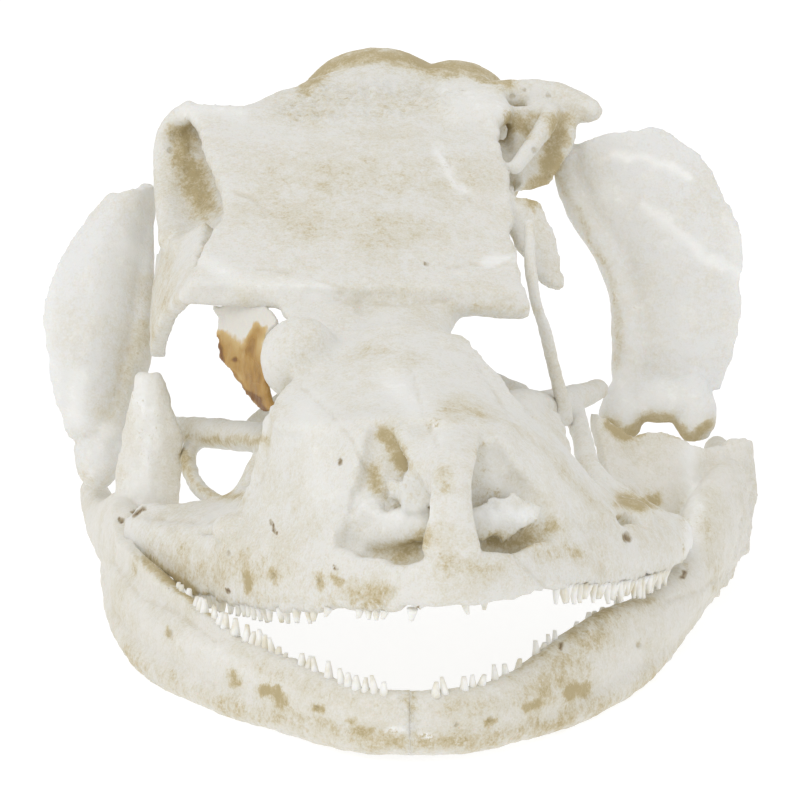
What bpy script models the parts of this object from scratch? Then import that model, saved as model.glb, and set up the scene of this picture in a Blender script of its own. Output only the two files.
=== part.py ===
"""Skull of an adult leopard gecko with its lower jaw, mouth a little open.

The axes: x runs to the animal's left, y from the snout to the back of the head, z up.
Points are written in millimetres; MM turns them into Blender's metres.
The skull rests on the lower edges of its jaw, at z = 0.
"""

import bmesh
import bpy
import numpy as np
from mathutils import Matrix, Vector

for old in list(bpy.data.objects):
    bpy.data.objects.remove(old, do_unlink=True)

MM = 0.001

# Driving dimensions, in millimetres.
PLATE = 0.5  # thickness of the roof and face bones
SHELL = 0.42  # thickness of the quadrate shells
MEMBRANE = 0.26  # thickness of the dried tissue
JAW_SEAM_X = 0.25  # where the two halves of the lower jaw meet
JAW_GAP = 0.12  # width of that seam
TOOTH_PITCH = 0.42  # from one tooth to the next
TOOTH_LENGTH = 0.36
TOOTH_RADIUS = 0.13
GRAIN = 0.15  # voxel that fuses the shapes of one bone
REST_DEPTH = 2.0  # depth of the block that trims the jaw flat at z = 0
CENTRE = Vector((0.02, 13.73, 0.0))  # middle of the footprint, which ends up at the origin


def collection(name, cutters=False):
    made = bpy.data.collections.new(name)
    made.hide_render = cutters
    bpy.context.scene.collection.children.link(made)
    return made


SKULL = collection("LeopardGeckoSkull")
CUTTERS = collection("Cutters", cutters=True)


def object_of(name, points, faces):
    """A mesh object from points in millimetres."""
    mesh = bpy.data.meshes.new(name)
    mesh.from_pydata([Vector(p) * MM for p in points], [], faces)
    made = bpy.data.objects.new(name, mesh)
    bpy.context.scene.collection.objects.link(made)
    return made


def evaluated(source):
    """The object's mesh with its modifiers applied. The object itself is removed."""
    graph = bpy.context.evaluated_depsgraph_get()
    mesh = bpy.data.meshes.new_from_object(source.evaluated_get(graph))
    mesh.transform(source.matrix_world)
    bpy.data.objects.remove(source, do_unlink=True)
    return mesh


def smooth_line(stations, steps):
    """Points of a smooth line through the stations, with whatever sizes they carry."""
    knots = np.array(stations, float)
    knots = np.vstack([2 * knots[0] - knots[1], knots, 2 * knots[-1] - knots[-2]])
    line = []
    for a, b, c, d in zip(knots, knots[1:], knots[2:], knots[3:]):
        for t in np.arange(steps) / steps:
            bend = (2 * a - 5 * b + 4 * c - d) * t * t + (3 * b - a - 3 * c + d) * t**3
            line.append(b + 0.5 * ((c - a) * t + bend))
    line.append(knots[-2])
    return np.array(line)


def rod(stations, up=(0, 0, 1), sides=12, steps=4):
    """A bar of oval section. A station is x, y, z, half width and, if the section isn't round, half height."""
    stations = [s if len(s) == 5 else (*s, s[3]) for s in stations]
    line = smooth_line(stations, steps)
    middle, size = line[:, :3], line[:, 3:]
    along = np.gradient(middle, axis=0)
    along /= np.linalg.norm(along, axis=1)[:, None]
    first, last = along[0] * size[0].min(), along[-1] * size[-1].min()
    middle = np.vstack([middle[0] - first * 0.6, middle, middle[-1] + last * 0.6])
    size = np.vstack([size[0] * 0.6, size, size[-1] * 0.6])
    along = np.vstack([along[0], along, along[-1]])
    wide = np.cross(along, up)
    wide /= np.linalg.norm(wide, axis=1)[:, None]
    high = np.cross(wide, along)
    points = []
    for centre, (a, b), w, h in zip(middle, size, wide, high):
        for turn in np.arange(sides) * 2 * np.pi / sides:
            points.append(centre + a * np.cos(turn) * w + b * np.sin(turn) * h)
    faces = []
    for ring in range(len(middle) - 1):
        for i in range(sides):
            j = (i + 1) % sides
            near, far = ring * sides, (ring + 1) * sides
            faces.append((near + i, far + i, far + j, near + j))
    faces.append(tuple(range(sides)))
    top = (len(middle) - 1) * sides
    faces.append(tuple(top + i for i in reversed(range(sides))))
    return evaluated(object_of("rod", points, faces))


def sheet(rows, thick=PLATE):
    """A bent plate through rows of points, the same number in each row."""
    width = len(rows[0])
    points = [point for row in rows for point in row]
    faces = []
    for i in range(len(rows) - 1):
        for j in range(width - 1):
            k = i * width + j
            faces.append((k, k + 1, k + width + 1, k + width))
    made = object_of("sheet", points, faces)
    rounded = made.modifiers.new("rounded", "SUBSURF")
    rounded.levels = rounded.render_levels = 2
    rounded.boundary_smooth = "PRESERVE_CORNERS"
    body = made.modifiers.new("body", "SOLIDIFY")
    body.thickness = thick * MM
    body.offset = 0
    return evaluated(made)


def ball(centre, radii, turn=0.0):
    """An ellipsoid, turned about the upright axis by so many degrees."""
    mesh = bpy.data.meshes.new("ball")
    made = bpy.data.objects.new("ball", mesh)
    bpy.context.scene.collection.objects.link(made)
    place = Matrix.Translation(Vector(centre) * MM) @ Matrix.Rotation(np.radians(turn), 4, "Z")
    place = place @ Matrix.Diagonal((*(Vector(radii) * MM), 1))
    shape = bmesh.new()
    bmesh.ops.create_icosphere(shape, subdivisions=3, radius=1, matrix=place)
    shape.to_mesh(mesh)
    shape.free()
    return evaluated(made)


def joined(name, meshes):
    """One object that holds all the meshes."""
    points, faces = [], []
    for mesh in meshes:
        start = len(points)
        points += [v.co / MM for v in mesh.vertices]
        faces += [tuple(start + i for i in p.vertices) for p in mesh.polygons]
    return object_of(name, points, faces)


def largest_body(mesh):
    """Keeps the body with the most faces, and drops any crumb of voxels beside it."""
    shape = bmesh.new()
    shape.from_mesh(mesh)
    left, bodies = set(shape.verts), []
    while left:
        body, edge = set(), [left.pop()]
        while edge:
            vertex = edge.pop()
            body.add(vertex)
            near = {e.other_vert(vertex) for e in vertex.link_edges} & left
            left -= near
            edge += near
        bodies.append(body)
    keep = max(bodies, key=len)
    bmesh.ops.delete(shape, geom=[v for v in shape.verts if v not in keep], context="VERTS")
    shape.to_mesh(mesh)
    shape.free()
    return mesh


def fused(name, meshes, triangles, relax=2, grain=GRAIN):
    """The shapes grown together into one bone, with its surface evened and then thinned to so many triangles."""
    made = joined(name, meshes)
    grow = made.modifiers.new("grow together", "REMESH")
    grow.mode = "VOXEL"
    grow.voxel_size = grain * MM
    even = made.modifiers.new("even", "SMOOTH")
    even.factor = 0.5
    even.iterations = relax
    mesh = largest_body(evaluated(made))
    mesh.calc_loop_triangles()
    thin = bpy.data.objects.new(name, mesh)
    SKULL.objects.link(thin)
    fewer = thin.modifiers.new("fewer", "DECIMATE")
    fewer.ratio = min(1.0, triangles / len(mesh.loop_triangles))
    fewer.use_collapse_triangulate = True
    return thin


def combine(bone, other, operation):
    """Adds the other object to the bone, or cuts it away, with a Boolean."""
    for home in list(other.users_collection):
        home.objects.unlink(other)
    CUTTERS.objects.link(other)
    other.hide_render = True
    other.display_type = "WIRE"
    change = bone.modifiers.new(operation.lower(), "BOOLEAN")
    change.operation = operation
    change.solver = "EXACT"
    change.use_self = operation == "UNION"
    change.object = other


def tooth_row(name, stations, lean, sides=4):
    """Pegs of one size along a line, roots sunk in the bone. lean is the direction of their tips."""
    line = smooth_line(stations, 12)
    run = np.concatenate([[0], np.cumsum(np.linalg.norm(np.diff(line, axis=0), axis=1))])
    count = int(run[-1] / TOOTH_PITCH)
    lean = np.array(lean, float)
    lean /= np.linalg.norm(lean)
    points, faces = [], []
    for k in range(count):
        place = (k + 0.5) * run[-1] / count
        root = np.array([np.interp(place, run, line[:, axis]) for axis in range(3)])
        wide = np.cross(lean, (0, 1, 0))
        wide /= np.linalg.norm(wide)
        deep = np.cross(lean, wide)
        start = len(points)
        for turn in (np.arange(sides) + 0.5) * 2 * np.pi / sides:
            across = np.cos(turn) * wide + np.sin(turn) * deep
            points.append(root - lean * 0.25 + across * TOOTH_RADIUS)
        for turn in (np.arange(sides) + 0.5) * 2 * np.pi / sides:
            across = np.cos(turn) * wide + np.sin(turn) * deep
            points.append(root + lean * TOOTH_LENGTH + across * TOOTH_RADIUS * 0.35)
        for i in range(sides):
            j = (i + 1) % sides
            faces.append((start + i, start + j, start + sides + j, start + sides + i))
        faces.append(tuple(start + i for i in reversed(range(sides))))
        faces.append(tuple(start + sides + i for i in range(sides)))
    return object_of(name, points, faces)


def block(name, low, high):
    """A box between two corners."""
    corners = [(x, y, z) for x in (low[0], high[0]) for y in (low[1], high[1]) for z in (low[2], high[2])]
    faces = [(0, 1, 3, 2), (4, 6, 7, 5), (0, 4, 5, 1), (2, 3, 7, 6), (0, 2, 6, 4), (1, 5, 7, 3)]
    return object_of(name, corners, faces)


def material(name, colour, roughness):
    made = bpy.data.materials.new(name)
    made.use_nodes = True
    shader = made.node_tree.nodes["Principled BSDF"]
    shader.inputs["Base Color"].default_value = (*colour, 1)
    shader.inputs["Roughness"].default_value = roughness
    return made


BONE = material("Bone", (0.80, 0.76, 0.66), 0.55)
THIN_BONE = material("ThinBone", (0.78, 0.78, 0.74), 0.45)
DRIED_TISSUE = material("DriedTissue", (0.55, 0.28, 0.06), 0.4)


# Roof of the skull: the parietal plate, from the suture above the eyes to the back of the head.
parietal = sheet([
    [(-5.7, 12.8, 9.3), (-3.4, 12.6, 9.3), (-0.9, 12.7, 9.2), (1.5, 13.1, 9.0), (3.4, 13.5, 8.8)],
    [(-5.2, 14.6, 10.0), (-3.2, 14.6, 10.1), (-0.9, 14.8, 10.1), (1.3, 15.2, 9.9), (3.0, 15.6, 9.5)],
    [(-4.6, 16.6, 10.6), (-3.0, 16.8, 10.8), (-0.9, 17.0, 10.8), (1.4, 17.4, 10.7), (3.0, 17.7, 10.4)],
    [(-4.9, 17.8, 11.1), (-3.0, 18.0, 11.2), (-0.9, 18.1, 11.2), (1.4, 18.5, 11.1), (3.0, 18.9, 10.9)],
    [(-5.4, 19.2, 11.6), (-3.3, 19.4, 11.7), (-1.1, 19.4, 11.7), (1.2, 19.8, 11.6), (2.6, 20.2, 11.5)],
    [(-5.8, 21.7, 12.2), (-4.3, 21.6, 12.2), (-1.4, 21.2, 12.1), (0.8, 22.2, 12.3), (2.9, 22.9, 12.5)],
])
parietal_lobe = ball((1.9, 22.0, 12.05), (1.2, 1.5, 0.5))

# Braincase: a closed capsule below the roof, its domed back, the joint with the neck and the keel below.
braincase = rod([
    (-0.5, 15.6, 9.2, 1.5, 1.0),
    (-0.45, 17.4, 9.1, 2.1, 1.6),
    (-0.3, 19.6, 9.2, 2.5, 2.0),
    (0.0, 22.0, 9.5, 2.9, 2.3),
    (0.1, 24.2, 9.9, 2.7, 2.2),
    (0.15, 25.4, 10.1, 1.9, 1.6),
])
dome_right = ball((-0.65, 25.0, 11.2), (2.3, 1.9, 2.0))
dome_left = ball((1.5, 24.7, 11.1), (1.8, 1.8, 1.8))
dome_back = ball((0.15, 24.6, 10.6), (3.1, 2.3, 1.5))
roof_behind = sheet([
    [(-4.2, 21.6, 12.0), (-2.4, 21.3, 12.05), (-0.9, 21.2, 12.05), (0.8, 21.8, 12.1), (2.4, 22.4, 12.3)],
    [(-3.3, 22.4, 12.3), (-1.9, 22.6, 12.4), (-0.9, 22.9, 12.45), (0.8, 23.2, 12.4), (2.6, 23.2, 12.3)],
    [(-2.6, 23.5, 12.4), (-1.5, 23.8, 12.7), (-1.05, 24.0, 12.9), (0.2, 24.2, 12.7), (2.4, 24.0, 12.5)],
])
neck_joint = ball((0.1, 25.9, 8.6), (0.6, 0.5, 0.42))
keel = rod([(0.3, 13.6, 6.9, 0.2), (0.0, 16.0, 7.3, 0.45), (-0.2, 19.0, 7.2, 1.2, 0.6), (0, 22.5, 7.4, 1.4, 0.6)])
keel_process_right = rod([(-0.8, 17.8, 7.0, 0.35), (-2.4, 17.3, 5.7, 0.3), (-4.0, 16.8, 4.45, 0.3)])
keel_process_left = rod([(0.5, 18.0, 6.9, 0.35), (1.9, 17.6, 5.9, 0.3), (3.3, 16.9, 5.3, 0.35)])

# Ear region of each side, with the bars that reach out to the quadrates.
ear_wall_left = ball((2.2, 21.7, 10.3), (1.2, 1.6, 1.1))
ear_wall_right = ball((-2.8, 21.4, 10.4), (1.4, 1.8, 1.2))
ear_bar_left = rod([
    (1.6, 23.4, 12.1, 0.45), (3.4, 23.6, 12.2, 0.45), (4.3, 23.6, 12.05, 0.5), (5.0, 23.4, 11.85, 0.45),
    (5.4, 23.05, 11.85, 0.3),
])
ear_brace_left = rod([(3.1, 19.6, 11.0, 0.22), (3.6, 20.6, 11.4, 0.24), (4.0, 21.8, 11.7, 0.26), (4.2, 22.8, 11.9, 0.28)])
ear_back_left = sheet([
    [(3.0, 22.6, 12.05), (3.6, 23.1, 12.05), (4.3, 23.4, 12.0), (5.0, 23.4, 11.8)],
    [(3.1, 21.8, 11.3), (3.6, 22.1, 10.9), (4.2, 22.4, 10.95), (4.9, 22.6, 11.2)],
    [(3.1, 20.6, 10.7), (3.5, 21.1, 10.45), (4.0, 21.6, 10.35), (4.5, 22.1, 10.5)],
    [(3.2, 19.8, 10.35), (3.4, 20.3, 10.2), (3.7, 20.9, 10.1), (4.05, 21.4, 10.15)],
], SHELL)
ear_flap_left = sheet([
    [(2.6, 18.0, 10.6), (3.2, 18.2, 10.6), (3.7, 18.6, 10.4)],
    [(3.0, 17.6, 9.7), (3.7, 17.8, 9.7), (4.1, 18.2, 9.4)],
    [(3.4, 17.2, 8.9), (3.9, 17.3, 8.8), (4.3, 17.6, 8.6)],
    [(3.9, 17.0, 8.4), (4.2, 17.0, 8.3), (4.5, 17.2, 8.2)],
], SHELL)
ear_bar_right = rod([(-2.0, 24.0, 10.8, 0.6), (-4.2, 23.0, 11.0, 0.5), (-6.1, 22.1, 11.0, 0.4)])
back_ridge_right = rod([(-4.3, 21.6, 12.0, 0.3), (-3.3, 23.0, 12.1, 0.32), (-2.4, 24.7, 12.0, 0.3)])

# Side of the head on the animal's right: the strip that runs from the roof's corner down behind the eye,
# and the hollow between the roof and the outer rim.
eye_strip_right = sheet([
    [(-5.5, 12.8, 9.3), (-5.9, 13.6, 8.7), (-6.25, 14.8, 8.0), (-6.5, 16.4, 7.0), (-6.6, 17.4, 6.2)],
    [(-5.3, 14.4, 9.5), (-5.75, 15.2, 9.1), (-6.2, 16.4, 8.4), (-6.55, 17.6, 7.5), (-6.65, 18.4, 6.7)],
    [(-5.2, 16.0, 9.8), (-5.7, 16.8, 9.4), (-6.1, 18.0, 8.9), (-6.45, 18.9, 8.3), (-6.6, 19.2, 7.6)],
    [(-5.1, 17.2, 10.0), (-5.6, 17.8, 9.6), (-6.1, 18.8, 9.25), (-6.4, 19.5, 8.9), (-6.5, 19.8, 8.4)],
])
hollow_right = sheet([
    [(-4.2, 16.0, 10.0), (-5.4, 16.6, 9.4), (-6.2, 17.6, 9.2)],
    [(-4.2, 18.0, 10.1), (-5.4, 18.6, 9.1), (-6.3, 19.0, 9.4)],
    [(-4.4, 20.0, 10.6), (-5.6, 20.4, 9.8), (-6.4, 20.5, 10.1)],
    [(-4.6, 21.8, 11.4), (-5.6, 21.9, 11.1), (-6.4, 21.8, 11.3)],
    [(-4.8, 22.3, 12.0), (-5.6, 22.2, 11.9), (-6.3, 21.9, 11.7)],
])
outer_rim_right = rod([
    (-5.7, 21.8, 12.15, 0.32), (-6.3, 21.8, 11.7, 0.32), (-6.55, 21.6, 11.0, 0.3),
    (-6.5, 20.9, 10.3, 0.3), (-6.4, 19.8, 9.7, 0.3), (-6.35, 18.6, 9.2, 0.28),
])

# Brow: the thickened front edge of the roof, and the wing of the frontal below it.
brow = rod([
    (-5.75, 13.1, 9.1, 0.26), (-3.6, 12.85, 9.1, 0.28), (-1.2, 12.9, 8.95, 0.28), (1.4, 13.3, 8.8, 0.3),
    (3.3, 13.6, 8.6, 0.3),
])
brow_wing_right = sheet([
    [(-1.2, 12.7, 8.9), (-2.5, 12.6, 8.95), (-3.2, 12.7, 9.0)],
    [(-1.2, 11.6, 8.6), (-2.2, 11.5, 8.7), (-2.9, 11.7, 8.6)],
    [(-1.4, 10.6, 8.2), (-2.2, 10.6, 8.3), (-2.9, 10.8, 8.2)],
], 0.4)

# Frontal: a hollow-sided bar between the eyes, then the snout's roof of frontal, prefrontals and nasals.
frontal = rod([
    (-0.2, 14.0, 8.6, 1.9, 0.7),
    (-0.15, 12.4, 8.2, 1.5, 0.75),
    (-0.05, 11.0, 8.0, 1.55, 0.75),
    (0.0, 9.8, 7.7, 1.95, 0.7),
    (0.05, 8.6, 7.4, 2.3, 0.65),
    (0.2, 7.4, 7.2, 2.2, 0.6),
])
snout_roof = sheet([
    [(-1.6, 11.2, 8.3), (-0.8, 11.1, 8.6), (-0.1, 11.0, 8.7), (0.7, 11.1, 8.6), (1.6, 11.2, 8.3)],
    [(-2.2, 9.8, 8.0), (-1.0, 9.6, 8.3), (0.0, 9.4, 8.35), (1.1, 9.6, 8.3), (2.25, 9.8, 8.0)],
    [(-3.3, 8.7, 7.3), (-1.6, 8.4, 7.95), (0.15, 8.0, 8.05), (1.6, 8.3, 7.95), (3.0, 8.8, 7.2)],
    [(-3.5, 7.6, 6.9), (-1.7, 6.8, 7.5), (0.3, 6.4, 7.8), (1.9, 6.6, 7.7), (3.5, 7.6, 6.9)],
    [(-2.6, 6.6, 7.0), (-1.3, 5.4, 7.5), (0.0, 4.7, 7.85), (1.6, 4.2, 7.8), (2.8, 5.0, 7.4)],
])
eye_bulge_right = ball((-2.6, 10.4, 8.05), (1.08, 0.95, 1.1))
eye_front_wall_right = sheet([
    [(-3.3, 8.6, 7.2), (-2.3, 9.4, 7.1), (-1.2, 10.0, 7.2)],
    [(-3.6, 8.6, 6.0), (-2.6, 9.5, 6.0), (-1.4, 10.0, 6.1)],
    [(-3.6, 8.8, 4.9), (-2.8, 9.8, 4.9), (-1.6, 10.2, 5.0)],
])
eye_front_wall_left = sheet([
    [(3.1, 8.8, 7.1), (2.1, 9.4, 7.1), (1.1, 10.0, 7.2)],
    [(3.8, 8.6, 6.1), (2.8, 9.5, 6.1), (1.5, 10.0, 6.2)],
    [(4.6, 9.0, 5.0), (3.2, 9.8, 5.0), (1.7, 10.2, 5.1)],
])

# Premaxilla: the bar between the nostrils and the plate at the tip of the snout.
nose_bar = rod([
    (1.1, 6.0, 7.5, 1.1, 0.3), (1.2, 4.4, 7.5, 0.9, 0.32), (1.3, 2.9, 7.4, 0.66, 0.34),
    (1.3, 1.9, 7.0, 0.55, 0.34), (1.3, 1.3, 6.3, 0.6, 0.34), (1.3, 1.1, 5.5, 0.8, 0.32),
], up=(0, -0.6, 0.8))
nose_edge_right = rod([(0.15, 4.6, 7.7, 0.4, 0.25), (0.55, 3.4, 7.3, 0.4, 0.25), (0.95, 2.3, 6.8, 0.3, 0.25)])
nose_wall = sheet([
    [(-1.0, 5.4, 7.5), (0.3, 4.8, 7.6), (1.4, 4.4, 7.5), (2.6, 4.8, 7.4)],
    [(-1.4, 4.9, 6.4), (0.2, 4.2, 6.5), (1.4, 3.8, 6.5), (3.3, 4.6, 6.4)],
    [(-2.0, 4.6, 5.4), (0.0, 3.6, 5.4), (1.4, 3.2, 5.4), (4.0, 4.8, 5.4)],
    [(-2.1, 4.4, 4.6), (0.0, 3.2, 4.6), (1.4, 2.7, 4.6), (4.2, 4.8, 4.6)],
])
nose_scroll_right = sheet([
    [(-1.3, 4.4, 5.8), (-0.7, 3.9, 6.2), (-0.1, 3.5, 6.3), (0.8, 3.1, 6.2)],
    [(-1.5, 4.3, 5.3), (-0.7, 3.7, 5.6), (0.0, 3.2, 5.8), (0.8, 2.8, 5.9)],
    [(-1.5, 4.1, 4.6), (-0.8, 3.5, 4.6), (-0.2, 3.1, 5.0), (0.8, 2.7, 5.7)],
], SHELL)
nose_scroll_left = sheet([
    [(1.9, 2.9, 6.2), (2.7, 3.5, 6.25), (3.6, 4.3, 6.0)],
    [(1.9, 2.7, 5.8), (2.7, 3.3, 5.7), (3.6, 4.1, 5.5)],
], SHELL)
nose_plate = sheet([
    [(-0.1, 1.9, 4.9), (0.6, 1.3, 5.2), (1.3, 1.1, 5.5), (2.0, 1.3, 5.4), (2.7, 2.1, 5.2)],
    [(-0.3, 1.8, 4.4), (0.5, 1.2, 4.5), (1.3, 1.0, 4.7), (2.2, 1.3, 4.6), (3.2, 2.4, 4.5)],
    [(-0.4, 1.8, 3.9), (0.5, 1.2, 4.0), (1.3, 1.0, 4.1), (2.4, 1.5, 4.1), (3.7, 3.0, 3.9)],
])

# Maxillae: a tooth-bearing band on each side and the face plate above it.
upper_band_right = sheet([
    [(0.0, 1.5, 3.8), (-1.5, 2.8, 3.45), (-2.6, 4.1, 3.0), (-3.9, 6.2, 2.45), (-5.1, 8.7, 2.05), (-6.4, 11.5, 2.1), (-7.2, 13.6, 2.25)],
    [(-0.1, 1.6, 4.4), (-1.7, 3.2, 4.3), (-2.8, 4.5, 4.05), (-4.0, 6.5, 3.6), (-5.2, 9.1, 3.0), (-6.5, 11.8, 2.65), (-7.3, 13.8, 2.5)],
    [(0.1, 1.7, 4.9), (-1.6, 3.6, 4.9), (-2.5, 4.9, 4.8), (-3.8, 6.8, 4.2), (-4.8, 9.2, 3.5), (-6.3, 12.0, 3.0), (-7.2, 13.9, 2.7)],
])
face_plate_right = sheet([
    [(-1.6, 3.6, 4.9), (-2.5, 4.9, 4.8), (-3.6, 6.8, 4.3), (-4.4, 8.8, 3.9)],
    [(-1.1, 4.1, 5.9), (-2.0, 5.1, 5.9), (-3.1, 6.8, 5.4), (-3.8, 8.6, 4.9)],
    [(-0.9, 4.4, 6.9), (-1.7, 5.5, 6.9), (-2.8, 6.9, 6.5), (-3.6, 8.5, 6.0)],
    [(-0.7, 5.0, 7.6), (-1.6, 6.0, 7.4), (-2.7, 7.2, 7.1), (-3.4, 8.5, 7.1)],
])
upper_band_left = sheet([
    [(3.1, 2.4, 4.0), (4.3, 4.3, 3.65), (5.1, 5.7, 3.25), (6.2, 8.2, 2.65), (7.1, 10.7, 2.2), (7.6, 13.0, 2.05)],
    [(3.0, 2.4, 4.5), (4.4, 4.6, 4.3), (5.3, 6.1, 3.9), (6.3, 8.5, 3.3), (7.2, 11.0, 2.7), (7.7, 13.3, 2.3)],
    [(2.7, 2.3, 5.0), (4.3, 5.0, 4.9), (5.1, 6.6, 4.6), (6.0, 9.0, 3.8), (6.9, 11.4, 3.1), (7.7, 13.6, 2.5)],
])
face_plate_left = sheet([
    [(4.2, 4.9, 5.1), (4.8, 5.8, 4.9), (5.4, 7.4, 4.5), (5.8, 9.6, 4.0)],
    [(3.3, 4.2, 6.2), (4.0, 5.4, 5.9), (4.6, 7.0, 5.4), (5.0, 9.0, 4.9)],
    [(2.7, 4.1, 7.0), (3.3, 5.2, 6.9), (3.9, 6.8, 6.5), (4.2, 8.5, 6.0)],
    [(2.3, 4.3, 7.6), (2.6, 5.6, 7.5), (3.1, 7.0, 7.2), (3.4, 8.7, 6.9)],
])

# Palate: the floor of the nose, then a bar on each side that runs back toward the quadrate.
palate = sheet([
    [(-0.3, 2.4, 4.4), (1.3, 1.8, 4.4), (3.1, 3.2, 4.4)],
    [(-2.4, 5.4, 4.2), (0.9, 5.0, 4.6), (4.4, 5.6, 4.2)],
    [(-3.6, 8.6, 4.2), (0.4, 8.4, 4.7), (5.0, 8.8, 4.2)],
    [(-3.7, 10.8, 4.6), (0.2, 10.2, 4.8), (4.0, 11.0, 4.9)],
])
palate_bar_right = rod([
    (-2.8, 10.6, 4.8, 0.8, 0.34), (-3.2, 12.6, 5.1, 0.6, 0.38), (-3.7, 14.2, 4.85, 0.55, 0.42),
    (-4.7, 16.3, 4.4, 0.42, 0.42), (-5.9, 18.4, 3.95, 0.35, 0.4), (-6.5, 19.4, 3.85, 0.3, 0.3),
])
cheek_bar_right = rod([
    (-6.9, 13.7, 2.9, 0.3), (-5.6, 13.0, 3.1, 0.45, 0.3), (-4.3, 12.6, 3.6, 0.45, 0.3), (-3.5, 13.2, 4.7, 0.35),
])
cheek_shelf_right = sheet([
    [(-7.2, 13.8, 2.6), (-6.4, 12.0, 2.9), (-4.9, 9.4, 3.5), (-3.8, 8.8, 4.4)],
    [(-6.8, 14.0, 3.0), (-5.6, 13.1, 3.2), (-4.3, 12.6, 3.6), (-3.5, 11.6, 4.4)],
], 0.4)
cheek_fill_right = ball((-4.5, 9.0, 3.75), (0.8, 0.9, 0.4))
cheek_strip_right = rod([
    (-5.7, 17.8, 3.9, 0.25), (-5.75, 16.2, 3.6, 0.24), (-5.45, 14.9, 3.3, 0.24), (-4.8, 13.9, 3.1, 0.24),
    (-4.2, 12.9, 3.4, 0.24),
])
palate_bar_left = rod([
    (2.8, 10.8, 5.0, 0.8, 0.3), (2.9, 12.6, 5.7, 0.55, 0.3), (3.2, 14.4, 5.8, 0.6, 0.35),
    (3.9, 16.4, 5.2, 0.5, 0.38), (4.9, 18.2, 4.95, 0.36, 0.36), (5.5, 19.6, 4.8, 0.3, 0.3),
])
cheek_bar_left = rod([
    (4.7, 17.6, 4.9, 0.3), (4.95, 15.6, 4.4, 0.28), (5.1, 13.6, 4.2, 0.3), (5.7, 12.6, 3.8, 0.3),
    (6.6, 12.8, 3.2, 0.3), (7.3, 13.3, 2.6, 0.28),
])
cheek_fill_left = ball((5.9, 10.8, 3.65), (0.8, 1.0, 0.45))
palate_plate_left = sheet([
    [(3.1, 13.2, 6.0), (3.7, 14.2, 5.6), (4.2, 15.2, 5.2)],
    [(3.4, 12.2, 5.6), (3.9, 12.6, 5.2), (4.5, 12.8, 4.6)],
], 0.4)
cheek_shelf_left = sheet([
    [(7.7, 13.5, 2.6), (6.9, 11.6, 3.1), (5.9, 9.4, 3.9), (5.0, 9.0, 4.8)],
    [(7.3, 13.5, 2.8), (6.5, 12.8, 3.3), (5.6, 12.4, 3.8), (5.0, 12.2, 4.3)],
], 0.4)

cranium = fused("cranium", [
    parietal, parietal_lobe, braincase, dome_right, dome_left, dome_back, roof_behind, neck_joint, keel,
    keel_process_right, keel_process_left, ear_wall_left, ear_wall_right, ear_bar_left,
    ear_brace_left, ear_back_left, ear_flap_left, ear_bar_right, back_ridge_right,
    eye_strip_right, hollow_right, outer_rim_right, frontal, snout_roof, eye_bulge_right,
    eye_front_wall_right, eye_front_wall_left, nose_bar, nose_plate, upper_band_right,
    face_plate_right, upper_band_left, face_plate_left, palate, palate_bar_right,
    cheek_bar_right, cheek_shelf_right, cheek_strip_right, palate_bar_left, cheek_bar_left,
    cheek_shelf_left, brow, brow_wing_right, nose_edge_right, nose_wall, nose_scroll_right,
    nose_scroll_left, cheek_fill_right, cheek_fill_left, palate_plate_left,
], 4100)
brain_hollow = joined("brain_hollow", [rod([
    (-0.4, 17.2, 9.2, 1.1, 0.7), (-0.2, 19.6, 9.3, 1.6, 1.2), (0.0, 22.0, 9.7, 2.1, 1.6),
    (0.1, 24.0, 10.2, 1.8, 1.4), (0.1, 25.2, 10.1, 1.0, 0.8), (0.1, 27.4, 10.0, 0.8, 0.7),
], sides=10, steps=2)])
combine(cranium, brain_hollow, "DIFFERENCE")
upper_teeth_right = tooth_row("upper_teeth_right", [
    (-0.6, 1.9, 3.75), (-1.5, 2.7, 3.55), (-2.6, 4.0, 3.2), (-3.9, 6.1, 2.75), (-5.1, 8.7, 2.4), (-6.0, 10.6, 2.25),
], (-0.1, -0.15, -1))
combine(cranium, upper_teeth_right, "UNION")
upper_teeth_left = tooth_row("upper_teeth_left", [
    (3.9, 3.5, 3.8), (4.3, 4.2, 3.65), (5.1, 5.6, 3.25), (6.2, 8.1, 2.65), (7.0, 10.4, 2.25),
], (0.1, -0.15, -1))
combine(cranium, upper_teeth_left, "UNION")

# Quadrates: thin shells, hollow at the back, each on a column that ends in the jaw joint.
quadrate_right = fused("quadrate_right", [
    sheet([
        [(-6.95, 21.9, 9.95), (-7.0, 21.2, 8.9), (-7.05, 20.7, 7.7), (-7.1, 20.3, 6.6), (-7.2, 20.1, 5.5), (-7.7, 19.9, 4.2)],
        [(-7.2, 21.2, 10.1), (-7.6, 20.2, 8.8), (-7.9, 19.5, 7.4), (-8.1, 19.2, 6.1), (-8.2, 19.2, 4.8), (-8.2, 19.4, 3.7)],
        [(-7.7, 21.1, 10.0), (-8.4, 20.1, 8.9), (-8.9, 19.5, 7.4), (-9.1, 19.2, 6.1), (-8.9, 19.2, 4.8), (-8.6, 19.5, 3.6)],
        [(-8.0, 21.4, 9.75), (-8.85, 20.7, 8.85), (-9.7, 20.2, 7.5), (-9.8, 19.9, 6.2), (-9.6, 19.7, 4.9), (-9.1, 19.8, 3.4)],
    ], SHELL),
    rod([
        (-7.0, 21.9, 9.9, 0.28), (-7.05, 21.2, 8.8, 0.3), (-7.12, 20.6, 7.6, 0.38), (-7.18, 20.2, 6.5, 0.44),
        (-7.35, 20.0, 5.5, 0.48), (-7.75, 19.9, 4.5, 0.5), (-8.1, 19.8, 3.6, 0.55),
    ], up=(0, 1, 0)),
    ball((-8.35, 19.8, 2.82), (0.66, 0.62, 0.97)),
    ball((-7.75, 19.9, 3.0), (0.45, 0.5, 0.6)),
], 650)
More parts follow.
